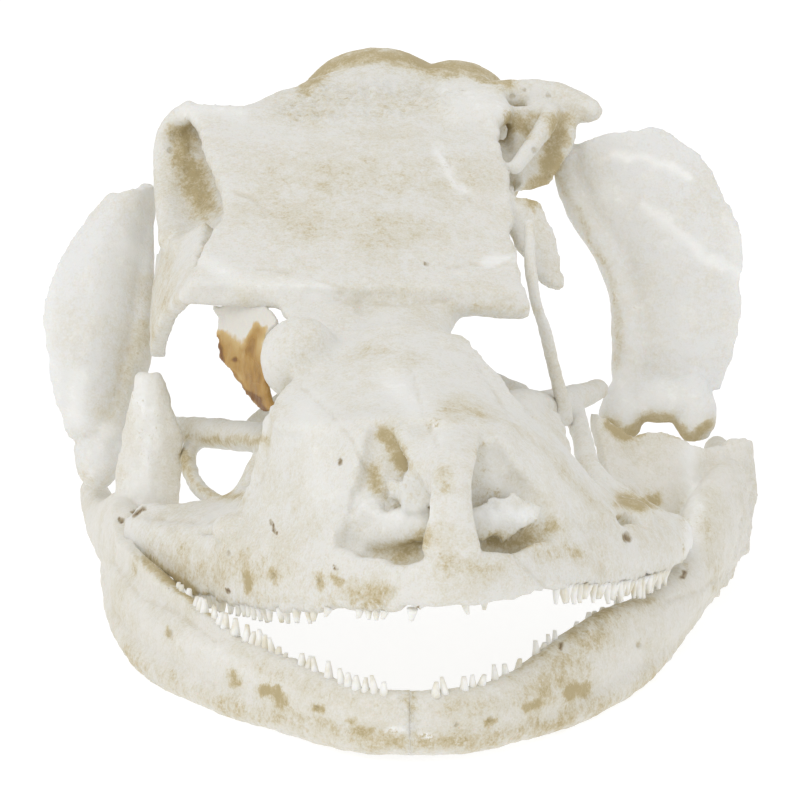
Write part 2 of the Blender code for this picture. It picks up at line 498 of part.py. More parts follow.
quadrate_left = fused("quadrate_left", [
    sheet([
        [(4.8, 23.4, 10.8), (4.75, 23.2, 10.0), (5.2, 22.8, 9.0), (5.85, 22.4, 8.0), (6.2, 22.1, 6.9), (6.3, 21.6, 5.7)],
        [(5.7, 22.9, 11.25), (5.9, 22.5, 10.2), (6.4, 22.0, 9.2), (6.8, 21.6, 8.1), (7.0, 21.3, 6.9), (7.0, 21.1, 5.6)],
        [(6.6, 22.8, 11.4), (7.3, 22.2, 10.4), (7.9, 21.7, 9.2), (8.2, 21.3, 8.1), (8.3, 21.0, 6.9), (8.1, 20.9, 5.4)],
        [(7.5, 22.9, 11.25), (8.6, 22.6, 10.4), (9.2, 22.2, 9.3), (9.45, 21.9, 8.1), (9.5, 21.6, 6.8), (9.2, 21.3, 5.2)],
    ], SHELL),
    rod([
        (4.75, 23.3, 10.7, 0.3), (4.65, 23.0, 10.0, 0.35), (5.1, 22.6, 9.0, 0.4), (5.8, 22.2, 8.0, 0.43),
        (6.25, 21.8, 6.9, 0.46), (6.35, 21.3, 5.7, 0.48), (6.35, 21.0, 4.8, 0.5),
    ], up=(0, 1, 0)),
    rod([(6.3, 20.9, 4.4, 0.6, 0.62), (7.1, 20.8, 4.4, 0.55, 0.52), (8.0, 20.8, 4.3, 0.6, 0.62)]),
    rod([(6.5, 21.0, 4.7, 0.5), (6.25, 20.9, 4.0, 0.58), (6.15, 20.9, 3.42, 0.48)], up=(0, 1, 0)),
    rod([(8.0, 20.9, 4.6, 0.5), (8.15, 20.9, 4.0, 0.58), (8.2, 20.9, 3.4, 0.46)], up=(0, 1, 0)),
    sheet([
        [(6.4, 21.3, 5.8), (7.4, 21.0, 5.7), (8.4, 21.0, 5.5), (9.2, 21.3, 5.3)],
        [(6.4, 21.2, 4.8), (7.3, 21.0, 4.8), (8.2, 21.0, 4.6), (8.8, 21.2, 4.4)],
    ], SHELL),
], 700)

# Epipterygoid: the thin rod between the palate bar and the roof, still in place on the animal's left.
epipterygoid_left = fused("epipterygoid_left", [
    rod([
        (3.5, 16.9, 10.15, 0.15), (3.5, 16.1, 9.3, 0.16), (3.65, 15.6, 8.3, 0.17), (3.95, 15.7, 7.3, 0.17),
        (4.2, 15.9, 6.2, 0.18), (4.45, 16.1, 5.2, 0.2), (4.5, 16.2, 4.8, 0.2),
    ], up=(0, 1, 0)),
], 160, relax=1, grain=0.09)

# Dried tissue that hangs behind the eye opening on the animal's right, under the corner of the roof.
dried_tissue = fused("dried_tissue", [
    sheet([
        [(-4.95, 13.4, 8.75), (-4.1, 13.0, 8.8), (-3.4, 12.6, 8.8)],
        [(-4.9, 13.3, 8.0), (-4.15, 12.9, 8.1), (-3.6, 12.2, 8.2)],
        [(-4.65, 13.1, 7.3), (-4.1, 12.6, 7.4), (-3.5, 11.9, 7.4)],
        [(-4.2, 12.6, 6.8), (-3.85, 12.2, 6.7), (-3.4, 11.6, 6.8)],
        [(-3.75, 12.0, 6.35), (-3.6, 11.8, 6.3), (-3.35, 11.5, 6.4)],
    ], MEMBRANE),
], 200, relax=1, grain=0.1)

# Lower jaw: two halves that meet at a seam in front, each with a blade that rises behind the teeth.
jaw_right = fused("jaw_right", [
    rod([
        (0.9, 1.1, 1.1, 0.5, 0.72), (0.0, 1.15, 1.1, 0.5, 0.72), (-1.1, 1.6, 1.05, 0.5, 0.75),
        (-2.2, 2.7, 1.0, 0.55, 0.88), (-3.4, 4.3, 0.95, 0.6, 1.0), (-4.75, 6.3, 0.9, 0.65, 1.0),
        (-6.0, 8.9, 0.85, 0.7, 0.97), (-6.9, 11.8, 0.9, 0.7, 1.02), (-7.15, 13.6, 1.0, 0.68, 1.12),
        (-7.4, 15.2, 1.3, 0.65, 1.42),
        (-7.7, 17.4, 1.15, 0.6, 1.28), (-8.1, 19.3, 0.95, 0.55, 0.78), (-8.4, 21.0, 1.1, 0.45, 0.5),
        (-8.6, 22.2, 1.2, 0.35, 0.35),
    ]),
    sheet([
        [(-3.3, 4.2, 1.75), (-4.7, 6.2, 1.95), (-5.95, 8.8, 2.05), (-7.05, 11.8, 2.12), (-7.6, 13.8, 2.2), (-7.65, 15.6, 2.7)],
        [(-3.4, 4.3, 1.2), (-4.8, 6.3, 1.3), (-6.05, 8.9, 1.3), (-7.0, 11.8, 1.35), (-7.4, 13.8, 1.4), (-7.6, 15.6, 1.7)],
    ], SHELL),
    sheet([
        [(-7.7, 16.8, 2.0), (-7.0, 15.8, 2.0), (-6.1, 16.4, 2.0)],
        [(-7.65, 17.0, 3.0), (-6.95, 16.2, 3.1), (-5.85, 16.5, 3.2)],
        [(-7.4, 17.3, 4.4), (-6.85, 16.7, 4.5), (-5.85, 16.8, 4.2)],
        [(-7.2, 17.3, 5.4), (-6.8, 16.9, 5.5), (-6.25, 16.9, 5.2)],
        [(-7.1, 17.3, 5.9), (-6.85, 17.1, 6.0), (-6.55, 17.1, 5.95)],
    ], SHELL),
    rod([
        (0.9, 1.0, 0.6, 0.42), (-0.2, 1.0, 0.58, 0.42), (-1.2, 1.5, 0.5, 0.42), (-2.45, 2.8, 0.42, 0.42),
        (-3.5, 4.0, 0.36, 0.42), (-4.95, 5.8, 0.3, 0.42), (-6.45, 8.4, 0.28, 0.42), (-7.3, 11.8, 0.28, 0.42),
        (-7.65, 14.8, 0.29, 0.42), (-7.8, 17.3, 0.34, 0.42), (-7.9, 18.6, 0.6, 0.3),
    ]),
    rod([(-7.6, 20.0, 0.9, 0.4), (-8.2, 20.4, 1.0, 0.5), (-8.4, 21.4, 1.3, 0.3)]),
], 950)
jaw_left = fused("jaw_left", [
    rod([
        (-0.4, 1.1, 1.1, 0.5, 0.72), (0.55, 1.1, 1.1, 0.5, 0.72), (1.9, 1.6, 1.05, 0.5, 0.75),
        (3.0, 2.7, 1.0, 0.55, 0.88), (4.2, 4.4, 1.1, 0.6, 1.17), (5.4, 6.7, 1.1, 0.65, 1.22),
        (6.5, 9.5, 0.9, 0.7, 1.02), (7.3, 12.3, 0.85, 0.7, 0.95), (7.75, 13.9, 0.95, 0.7, 1.05),
        (8.2, 15.6, 1.4, 0.72, 1.5),
        (8.75, 17.6, 1.55, 0.72, 1.62), (9.0, 19.6, 1.8, 0.65, 1.1), (9.0, 21.2, 2.0, 0.5, 0.7),
        (8.9, 22.8, 2.2, 0.35, 0.4),
    ]),
    sheet([
        [(5.25, 17.1, 4.8), (5.7, 17.4, 4.4), (6.3, 17.8, 3.6), (7.4, 18.3, 3.4), (8.9, 19.2, 3.1)],
        [(5.35, 16.3, 3.8), (6.0, 16.6, 3.7), (6.8, 17.1, 3.2), (7.8, 17.4, 2.8), (8.9, 18.2, 2.2)],
        [(5.9, 14.9, 2.7), (6.6, 15.4, 2.4), (7.2, 16.0, 2.0), (7.9, 16.5, 1.8), (8.7, 17.2, 1.6)],
    ], SHELL),
    sheet([
        [(8.2, 19.2, 3.1), (9.4, 20.2, 3.15), (9.6, 21.0, 2.9)],
        [(8.4, 18.6, 2.4), (9.85, 19.8, 2.1), (9.6, 20.8, 2.1)],
        [(8.6, 17.8, 1.4), (9.6, 18.8, 1.2), (9.4, 20.0, 1.4)],
        [(8.6, 17.0, 0.5), (9.5, 17.8, 0.5), (9.3, 19.0, 0.9)],
    ], 0.5),
    rod([
        (-0.4, 1.0, 0.6, 0.42), (0.6, 1.0, 0.58, 0.42), (1.9, 1.5, 0.52, 0.42), (3.4, 3.0, 0.4, 0.42),
        (4.9, 5.0, 0.32, 0.42), (6.3, 8.0, 0.28, 0.42), (7.35, 11.9, 0.28, 0.42), (8.1, 15.0, 0.29, 0.42),
        (8.7, 17.0, 0.36, 0.42),
    ]),
    rod([(8.8, 20.6, 2.0, 0.42), (7.6, 20.9, 2.2, 0.4), (6.4, 21.0, 2.25, 0.36)]),
], 950)
for jaw, name, low, high in (
    (jaw_right, "seam_right", JAW_SEAM_X - JAW_GAP / 2, 3.0),
    (jaw_left, "seam_left", -3.0, JAW_SEAM_X + JAW_GAP / 2),
):
    combine(jaw, block(name, (low, -2, -3), (high, 3.2, 4)), "DIFFERENCE")
    combine(jaw, block(name + "_rest", (-14, -3, -REST_DEPTH), (14, 28, 0.0)), "DIFFERENCE")
lower_teeth_right = tooth_row("lower_teeth_right", [
    (-0.1, 1.0, 1.75), (-1.2, 1.6, 1.72), (-2.3, 2.9, 1.8), (-3.3, 4.3, 1.9), (-4.65, 6.3, 2.05), (-5.85, 8.9, 2.1),
], (0.05, -0.1, 1))
combine(jaw_right, lower_teeth_right, "UNION")
lower_teeth_left = tooth_row("lower_teeth_left", [
    (0.7, 1.0, 1.75), (1.9, 1.6, 1.72), (2.9, 2.8, 1.8), (4.1, 4.5, 2.1), (5.1, 6.5, 2.1), (5.9, 8.6, 1.75),
], (-0.05, -0.1, 1))
combine(jaw_left, lower_teeth_left, "UNION")

for bone in SKULL.objects:
    thin_one = bone.name.startswith("quadrate")
    tissue = bone.name == "dried_tissue"
    bone.data.materials.clear()
    bone.data.materials.append(DRIED_TISSUE if tissue else THIN_BONE if thin_one else BONE)

for piece in list(SKULL.objects) + list(CUTTERS.objects):
    piece.location = -CENTRE * MM
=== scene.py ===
"""Looks of a dry leopard gecko skull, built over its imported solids.

Points are in millimetres, x to the animal's left, y from the snout to the back of the head, z up,
before CENTRE brings the middle of the footprint to the origin. Left and right are the animal's own.
"""

import bmesh
import bpy
import numpy as np
from mathutils import Matrix, Vector, noise
from mathutils.bvhtree import BVHTree


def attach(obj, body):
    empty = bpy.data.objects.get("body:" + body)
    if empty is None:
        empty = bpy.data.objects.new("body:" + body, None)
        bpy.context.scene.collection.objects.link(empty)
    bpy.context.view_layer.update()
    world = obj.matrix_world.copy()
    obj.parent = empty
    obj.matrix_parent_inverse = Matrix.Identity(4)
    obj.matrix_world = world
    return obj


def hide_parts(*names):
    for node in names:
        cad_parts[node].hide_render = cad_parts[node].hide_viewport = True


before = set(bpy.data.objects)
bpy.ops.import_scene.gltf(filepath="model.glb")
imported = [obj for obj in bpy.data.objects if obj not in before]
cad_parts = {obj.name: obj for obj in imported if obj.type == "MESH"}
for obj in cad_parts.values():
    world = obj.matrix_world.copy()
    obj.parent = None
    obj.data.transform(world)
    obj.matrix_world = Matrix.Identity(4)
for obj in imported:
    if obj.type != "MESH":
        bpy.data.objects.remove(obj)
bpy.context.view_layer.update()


# Cranium. Snout, upper jaw, palate, roof and braincase have grown into one bone. Each plate and bar is made
# by itself through points of its own, then all are grown together in a fine grid of voxels, and the surface
# gets the swellings, sutures, cracks and pits of dry bone.
MM = 0.001
CENTRE = Vector((0.02, 13.73, 0.0))
PLATE = 0.46  # thickness of the roof and face bones
SHELL = 0.36  # thickness of the quadrate shells
RAGGED = 0.13  # how far the broken edge of a plate strays
BONE_GRAIN = 0.1  # voxels of the cranium
THIN_GRAIN = 0.085  # voxels of the jaw and the quadrates
FINE_GRAIN = 0.05  # voxels of the two smallest pieces


def object_of(name, points, faces, edges=()):
    mesh = bpy.data.meshes.new(name)
    mesh.from_pydata([(Vector(p) - CENTRE) * MM for p in points], edges, faces)
    made = bpy.data.objects.new(name, mesh)
    bpy.context.scene.collection.objects.link(made)
    return made


def evaluated(source):
    """The object's mesh with its modifiers applied. The object itself is removed."""
    graph = bpy.context.evaluated_depsgraph_get()
    mesh = bpy.data.meshes.new_from_object(source.evaluated_get(graph))
    bpy.data.objects.remove(source, do_unlink=True)
    return mesh


def smooth_line(stations, steps):
    """Points of a smooth line through the stations, with whatever sizes they carry."""
    knots = np.array(stations, float)
    knots = np.vstack([2 * knots[0] - knots[1], knots, 2 * knots[-1] - knots[-2]])
    line = []
    for a, b, c, d in zip(knots, knots[1:], knots[2:], knots[3:]):
        for t in np.arange(steps) / steps:
            bend = (2 * a - 5 * b + 4 * c - d) * t * t + (3 * b - a - 3 * c + d) * t**3
            line.append(b + 0.5 * ((c - a) * t + bend))
    line.append(knots[-2])
    return np.array(line)


def rod(stations, up=(0, 0, 1), sides=18, steps=6):
    """A bar of oval section. A station is x, y, z, half width and, where it isn't round, half height."""
    stations = [s if len(s) == 5 else (*s, s[3]) for s in stations]
    line = smooth_line(stations, steps)
    middle, size = line[:, :3], line[:, 3:]
    along = np.gradient(middle, axis=0)
    along /= np.linalg.norm(along, axis=1)[:, None]
    first, last = along[0] * size[0].min(), along[-1] * size[-1].min()
    middle = np.vstack([middle[0] - first * 0.6, middle, middle[-1] + last * 0.6])
    size = np.vstack([size[0] * 0.6, size, size[-1] * 0.6])
    along = np.vstack([along[0], along, along[-1]])
    wide = np.cross(along, up)
    wide /= np.linalg.norm(wide, axis=1)[:, None]
    high = np.cross(wide, along)
    points = []
    for centre, (a, b), w, h in zip(middle, size, wide, high):
        for turn in np.arange(sides) * 2 * np.pi / sides:
            points.append(centre + a * np.cos(turn) * w + b * np.sin(turn) * h)
    faces = []
    for ring in range(len(middle) - 1):
        for i in range(sides):
            j = (i + 1) % sides
            near, far = ring * sides, (ring + 1) * sides
            faces.append((near + i, far + i, far + j, near + j))
    faces.append(tuple(range(sides)))
    top = (len(middle) - 1) * sides
    faces.append(tuple(top + i for i in reversed(range(sides))))
    return evaluated(object_of("rod", points, faces))


def sheet(rows, thick=PLATE, ragged=RAGGED):
    """A bent plate through rows of points, the same number in each row, with a worn edge."""
    width = len(rows[0])
    points = [point for row in rows for point in row]
    faces = []
    for i in range(len(rows) - 1):
        for j in range(width - 1):
            k = i * width + j
            faces.append((k, k + 1, k + width + 1, k + width))
    made = object_of("sheet", points, faces)
    rounded = made.modifiers.new("rounded", "SUBSURF")
    rounded.levels = rounded.render_levels = 3
    rounded.boundary_smooth = "PRESERVE_CORNERS"
    mesh = evaluated(made)
    shape = bmesh.new()
    shape.from_mesh(mesh)
    for vertex in [v for v in shape.verts if v.is_boundary]:
        inner = [e.other_vert(vertex).co for e in vertex.link_edges if not e.is_boundary]
        if inner:
            inward = (inner[0] - vertex.co).normalized()
            place = vertex.co / MM
            stray = noise.noise(place * 1.3) + 0.8 * noise.noise(place * 3.7)
            vertex.co += inward * stray * ragged * MM
    shape.to_mesh(mesh)
    shape.free()
    worn = bpy.data.objects.new("sheet", mesh)
    bpy.context.scene.collection.objects.link(worn)
    body = worn.modifiers.new("body", "SOLIDIFY")
    body.thickness = thick * MM
    body.offset = 0
    return evaluated(worn)


def ball(centre, radii, turn=0.0):
    """An ellipsoid, turned about the upright axis by so many degrees."""
    mesh = bpy.data.meshes.new("ball")
    place = Matrix.Translation((Vector(centre) - CENTRE) * MM) @ Matrix.Rotation(np.radians(turn), 4, "Z")
    place = place @ Matrix.Diagonal((*(Vector(radii) * MM), 1))
    shape = bmesh.new()
    bmesh.ops.create_icosphere(shape, subdivisions=4, radius=1, matrix=place)
    shape.to_mesh(mesh)
    shape.free()
    return mesh


def largest_body(mesh):
    """Keeps the body with the most faces, and drops any crumb of voxels beside it."""
    shape = bmesh.new()
    shape.from_mesh(mesh)
    left, bodies = set(shape.verts), []
    while left:
        body, edge = set(), [left.pop()]
        while edge:
            vertex = edge.pop()
            body.add(vertex)
            near = {e.other_vert(vertex) for e in vertex.link_edges} & left
            left -= near
            edge += near
        bodies.append(body)
    keep = max(bodies, key=len)
    bmesh.ops.delete(shape, geom=[v for v in shape.verts if v not in keep], context="VERTS")
    shape.to_mesh(mesh)
    shape.free()
    return mesh


def fused(name, meshes, grain, relax=3, cut=None):
    """The shapes grown together into one bone of voxels, less the cut mesh, with its surface evened."""
    shape = bmesh.new()
    for mesh in meshes:
        shape.from_mesh(mesh)
    together = bpy.data.meshes.new(name)
    shape.to_mesh(together)
    shape.free()
    made = bpy.data.objects.new(name, together)
    bpy.context.scene.collection.objects.link(made)
    if cut:
        cutter = bpy.data.objects.new("cutter", cut)
        bpy.context.scene.collection.objects.link(cutter)
    grow = made.modifiers.new("grow together", "REMESH")
    grow.mode = "VOXEL"
    grow.voxel_size = grain * MM
    if cut:
        hollow = made.modifiers.new("hollow", "BOOLEAN")
        hollow.operation = "DIFFERENCE"
        hollow.solver = "EXACT"
        hollow.object = cutter
        again = made.modifiers.new("grow again", "REMESH")
        again.mode = "VOXEL"
        again.voxel_size = grain * MM
    even = made.modifiers.new("even", "SMOOTH")
    even.factor = 0.5
    even.iterations = relax
    mesh = largest_body(evaluated(made))
    if cut:
        bpy.data.objects.remove(cutter, do_unlink=True)
    bone = bpy.data.objects.new(name, mesh)
    bpy.context.scene.collection.objects.link(bone)
    mesh.polygons.foreach_set("use_smooth", np.ones(len(mesh.polygons), bool))
    return bone


# Roof of the skull: the parietal plate, from the suture above the eyes to the back of the head.
parietal = sheet([
    [(-5.7, 12.8, 9.3), (-3.4, 12.6, 9.3), (-0.9, 12.7, 9.2), (1.5, 13.1, 9.0), (3.4, 13.5, 8.8)],
    [(-5.2, 14.6, 10.0), (-3.2, 14.6, 10.1), (-0.9, 14.8, 10.1), (1.3, 15.2, 9.9), (3.0, 15.6, 9.5)],
    [(-4.6, 16.6, 10.6), (-3.0, 16.8, 10.8), (-0.9, 17.0, 10.8), (1.4, 17.4, 10.7), (3.0, 17.7, 10.4)],
    [(-4.9, 17.8, 11.1), (-3.0, 18.0, 11.2), (-0.9, 18.1, 11.2), (1.4, 18.5, 11.1), (3.0, 18.9, 10.9)],
    [(-5.4, 19.2, 11.6), (-3.3, 19.4, 11.7), (-1.1, 19.4, 11.7), (1.2, 19.8, 11.6), (2.6, 20.2, 11.5)],
    [(-5.8, 21.7, 12.2), (-4.3, 21.6, 12.2), (-1.4, 21.2, 12.1), (0.8, 22.2, 12.3), (2.9, 22.9, 12.5)],
])
parietal_lobe = ball((1.9, 22.0, 12.05), (1.2, 1.5, 0.5))

# Braincase: a closed capsule below the roof, its domed back, the joint with the neck and the keel below.
braincase = rod([
    (-0.5, 15.6, 9.2, 1.5, 1.0),
    (-0.45, 17.4, 9.1, 2.1, 1.6),
    (-0.3, 19.6, 9.2, 2.5, 2.0),
    (0.0, 22.0, 9.5, 2.9, 2.3),
    (0.1, 24.2, 9.9, 2.7, 2.2),
    (0.15, 25.4, 10.1, 1.9, 1.6),
])
dome_right = ball((-0.65, 25.0, 11.2), (2.3, 1.9, 2.0))
dome_left = ball((1.5, 24.7, 11.1), (1.8, 1.8, 1.8))
dome_back = ball((0.15, 24.6, 10.6), (3.1, 2.3, 1.5))
roof_behind = sheet([
    [(-4.2, 21.6, 12.0), (-2.4, 21.3, 12.05), (-0.9, 21.2, 12.05), (0.8, 21.8, 12.1), (2.4, 22.4, 12.3)],
    [(-3.3, 22.4, 12.3), (-1.9, 22.6, 12.4), (-0.9, 22.9, 12.45), (0.8, 23.2, 12.4), (2.6, 23.2, 12.3)],
    [(-2.6, 23.5, 12.4), (-1.5, 23.8, 12.7), (-1.05, 24.0, 12.9), (0.2, 24.2, 12.7), (2.4, 24.0, 12.5)],
])
neck_joint = ball((0.1, 25.9, 8.6), (0.6, 0.5, 0.42))
keel = rod([
    (0.3, 13.6, 6.9, 0.2), (0.0, 16.0, 7.3, 0.45), (-0.2, 19.0, 7.2, 1.2, 0.6),
    (0, 22.5, 7.4, 1.4, 0.6),
])
keel_process_right = rod([(-0.8, 17.8, 7.0, 0.35), (-2.4, 17.3, 5.7, 0.3), (-4.0, 16.8, 4.45, 0.3)])
keel_process_left = rod([(0.5, 18.0, 6.9, 0.35), (1.9, 17.6, 5.9, 0.3), (3.3, 16.9, 5.3, 0.35)])

# Ear region of each side, with the bars that reach out to the quadrates.
ear_wall_left = ball((2.2, 21.7, 10.3), (1.2, 1.6, 1.1))
ear_wall_right = ball((-2.8, 21.4, 10.4), (1.4, 1.8, 1.2))
ear_bar_left = rod([
    (1.6, 23.4, 12.1, 0.45), (3.4, 23.6, 12.2, 0.45), (4.3, 23.6, 12.05, 0.5), (5.0, 23.4, 11.85, 0.45),
    (5.4, 23.05, 11.85, 0.3),
])
ear_brace_left = rod([
    (3.1, 19.6, 11.0, 0.22), (3.6, 20.6, 11.4, 0.24), (4.0, 21.8, 11.7, 0.26), (4.2, 22.8, 11.9, 0.28),
])
ear_back_left = sheet([
    [(3.0, 22.6, 12.05), (3.6, 23.1, 12.05), (4.3, 23.4, 12.0), (5.0, 23.4, 11.8)],
    [(3.1, 21.8, 11.3), (3.6, 22.1, 10.9), (4.2, 22.4, 10.95), (4.9, 22.6, 11.2)],
    [(3.1, 20.6, 10.7), (3.5, 21.1, 10.45), (4.0, 21.6, 10.35), (4.5, 22.1, 10.5)],
    [(3.2, 19.8, 10.35), (3.4, 20.3, 10.2), (3.7, 20.9, 10.1), (4.05, 21.4, 10.15)],
], SHELL)
ear_flap_left = sheet([
    [(2.6, 18.0, 10.6), (3.2, 18.2, 10.6), (3.7, 18.6, 10.4)],
    [(3.0, 17.6, 9.7), (3.7, 17.8, 9.7), (4.1, 18.2, 9.4)],
    [(3.4, 17.2, 8.9), (3.9, 17.3, 8.8), (4.3, 17.6, 8.6)],
    [(3.9, 17.0, 8.4), (4.2, 17.0, 8.3), (4.5, 17.2, 8.2)],
], SHELL)
ear_bar_right = rod([(-2.0, 24.0, 10.8, 0.6), (-4.2, 23.0, 11.0, 0.5), (-6.1, 22.1, 11.0, 0.4)])
back_ridge_right = rod([(-4.3, 21.6, 12.0, 0.3), (-3.3, 23.0, 12.1, 0.32), (-2.4, 24.7, 12.0, 0.3)])

# Side of the head on the animal's right: the strip that runs from the roof's corner down behind the eye,
# and the hollow between the roof and the outer rim.
eye_strip_right = sheet([
    [(-5.5, 12.8, 9.3), (-5.9, 13.6, 8.7), (-6.25, 14.8, 8.0), (-6.5, 16.4, 7.0), (-6.6, 17.4, 6.2)],
    [(-5.3, 14.4, 9.5), (-5.75, 15.2, 9.1), (-6.2, 16.4, 8.4), (-6.55, 17.6, 7.5), (-6.65, 18.4, 6.7)],
    [(-5.2, 16.0, 9.8), (-5.7, 16.8, 9.4), (-6.1, 18.0, 8.9), (-6.45, 18.9, 8.3), (-6.6, 19.2, 7.6)],
    [(-5.1, 17.2, 10.0), (-5.6, 17.8, 9.6), (-6.1, 18.8, 9.25), (-6.4, 19.5, 8.9), (-6.5, 19.8, 8.4)],
])
hollow_right = sheet([
    [(-4.2, 16.0, 10.0), (-5.4, 16.6, 9.4), (-6.2, 17.6, 9.2)],
    [(-4.2, 18.0, 10.1), (-5.4, 18.6, 9.1), (-6.3, 19.0, 9.4)],
    [(-4.4, 20.0, 10.6), (-5.6, 20.4, 9.8), (-6.4, 20.5, 10.1)],
    [(-4.6, 21.8, 11.4), (-5.6, 21.9, 11.1), (-6.4, 21.8, 11.3)],
    [(-4.8, 22.3, 12.0), (-5.6, 22.2, 11.9), (-6.3, 21.9, 11.7)],
])
outer_rim_right = rod([
    (-5.7, 21.8, 12.15, 0.32), (-6.3, 21.8, 11.7, 0.32), (-6.55, 21.6, 11.0, 0.3),
    (-6.5, 20.9, 10.3, 0.3), (-6.4, 19.8, 9.7, 0.3), (-6.35, 18.6, 9.2, 0.28),
])

# Brow: the thickened front edge of the roof, and the wing of the frontal below it.
brow = rod([
    (-5.75, 13.1, 9.1, 0.26), (-3.6, 12.85, 9.1, 0.28), (-1.2, 12.9, 8.95, 0.28), (1.4, 13.3, 8.8, 0.3),
    (3.3, 13.6, 8.6, 0.3),
])
brow_wing_right = sheet([
    [(-1.2, 12.7, 8.9), (-2.5, 12.6, 8.95), (-3.2, 12.7, 9.0)],
    [(-1.2, 11.6, 8.6), (-2.2, 11.5, 8.7), (-2.9, 11.7, 8.6)],
    [(-1.4, 10.6, 8.2), (-2.2, 10.6, 8.3), (-2.9, 10.8, 8.2)],
], 0.4)

# Frontal: a hollow-sided bar between the eyes, then the snout's roof of frontal, prefrontals and nasals.
frontal = rod([
    (-0.2, 14.0, 8.6, 1.9, 0.7),
    (-0.15, 12.4, 8.2, 1.5, 0.75),
    (-0.05, 11.0, 8.0, 1.55, 0.75),
    (0.0, 9.8, 7.7, 1.95, 0.7),
    (0.05, 8.6, 7.4, 2.3, 0.65),
    (0.2, 7.4, 7.2, 2.2, 0.6),
])
snout_roof = sheet([
    [(-1.6, 11.2, 8.3), (-0.8, 11.1, 8.6), (-0.1, 11.0, 8.7), (0.7, 11.1, 8.6), (1.6, 11.2, 8.3)],
    [(-2.2, 9.8, 8.0), (-1.0, 9.6, 8.3), (0.0, 9.4, 8.35), (1.1, 9.6, 8.3), (2.25, 9.8, 8.0)],
    [(-3.3, 8.7, 7.3), (-1.6, 8.4, 7.95), (0.15, 8.0, 8.05), (1.6, 8.3, 7.95), (3.0, 8.8, 7.2)],
    [(-3.5, 7.6, 6.9), (-1.7, 6.8, 7.5), (0.3, 6.4, 7.8), (1.9, 6.6, 7.7), (3.5, 7.6, 6.9)],
    [(-2.6, 6.6, 7.0), (-1.3, 5.4, 7.5), (0.0, 4.7, 7.85), (1.6, 4.2, 7.8), (2.8, 5.0, 7.4)],
])
eye_bulge_right = ball((-2.6, 10.4, 8.05), (1.08, 0.95, 1.1))
eye_front_wall_right = sheet([
    [(-3.3, 8.6, 7.2), (-2.3, 9.4, 7.1), (-1.2, 10.0, 7.2)],
    [(-3.6, 8.6, 6.0), (-2.6, 9.5, 6.0), (-1.4, 10.0, 6.1)],
    [(-3.6, 8.8, 4.9), (-2.8, 9.8, 4.9), (-1.6, 10.2, 5.0)],
])
eye_front_wall_left = sheet([
    [(3.1, 8.8, 7.1), (2.1, 9.4, 7.1), (1.1, 10.0, 7.2)],
    [(3.8, 8.6, 6.1), (2.8, 9.5, 6.1), (1.5, 10.0, 6.2)],
    [(4.6, 9.0, 5.0), (3.2, 9.8, 5.0), (1.7, 10.2, 5.1)],
])

# Premaxilla: the bar between the nostrils and the plate at the tip of the snout.
nose_bar = rod([
    (1.1, 6.0, 7.5, 1.1, 0.3), (1.2, 4.4, 7.5, 0.9, 0.32), (1.3, 2.9, 7.4, 0.66, 0.34),
    (1.3, 1.9, 7.0, 0.55, 0.34), (1.3, 1.3, 6.3, 0.6, 0.34), (1.3, 1.1, 5.5, 0.8, 0.32),
], up=(0, -0.6, 0.8))
nose_edge_right = rod([
    (0.15, 4.6, 7.7, 0.4, 0.25), (0.55, 3.4, 7.3, 0.4, 0.25), (0.95, 2.3, 6.8, 0.3, 0.25),
])
nose_wall = sheet([
    [(-1.0, 5.4, 7.5), (0.3, 4.8, 7.6), (1.4, 4.4, 7.5), (2.6, 4.8, 7.4)],
    [(-1.4, 4.9, 6.4), (0.2, 4.2, 6.5), (1.4, 3.8, 6.5), (3.3, 4.6, 6.4)],
    [(-2.0, 4.6, 5.4), (0.0, 3.6, 5.4), (1.4, 3.2, 5.4), (4.0, 4.8, 5.4)],
    [(-2.1, 4.4, 4.6), (0.0, 3.2, 4.6), (1.4, 2.7, 4.6), (4.2, 4.8, 4.6)],
])
nose_scroll_right = sheet([
    [(-1.3, 4.4, 5.7), (-0.9, 4.0, 6.0), (-0.4, 3.6, 5.9), (0.1, 3.3, 6.1), (0.8, 3.0, 6.0)],
    [(-1.5, 4.2, 5.2), (-0.9, 3.7, 5.4), (-0.4, 3.3, 5.5), (0.1, 3.0, 5.6), (0.8, 2.8, 5.7)],
    [(-1.5, 4.1, 4.6), (-0.9, 3.6, 4.8), (-0.4, 3.2, 4.9), (0.1, 2.9, 5.2), (0.8, 2.7, 5.5)],
], 0.25, 0.5)
nose_flake_right = sheet([
    [(-0.3, 3.6, 6.7), (0.2, 3.1, 6.95), (0.7, 2.9, 6.7)],
    [(-0.2, 3.3, 6.2), (0.3, 2.9, 6.3), (0.9, 2.7, 6.3)],
], 0.2, 0.5)
nose_scroll_left = sheet([
    [(1.8, 3.0, 6.1), (2.4, 3.3, 6.45), (3.0, 3.7, 6.2), (3.6, 4.2, 5.8)],
    [(1.8, 2.9, 5.7), (2.4, 3.1, 5.8), (3.0, 3.5, 5.65), (3.6, 4.1, 5.55)],
    [(1.8, 2.8, 5.3), (2.3, 3.0, 5.35), (2.8, 3.3, 5.3), (3.4, 4.0, 5.4)],
], 0.2, 0.5)
nose_plate = sheet([
    [(-0.1, 1.9, 4.9), (0.6, 1.3, 5.2), (1.3, 1.1, 5.5), (2.0, 1.3, 5.4), (2.7, 2.1, 5.2)],
    [(-0.3, 1.8, 4.4), (0.5, 1.2, 4.5), (1.3, 1.0, 4.7), (2.2, 1.3, 4.6), (3.2, 2.4, 4.5)],
    [(-0.4, 1.8, 3.9), (0.5, 1.2, 4.0), (1.3, 1.0, 4.1), (2.4, 1.5, 4.1), (3.7, 3.0, 3.9)],
])

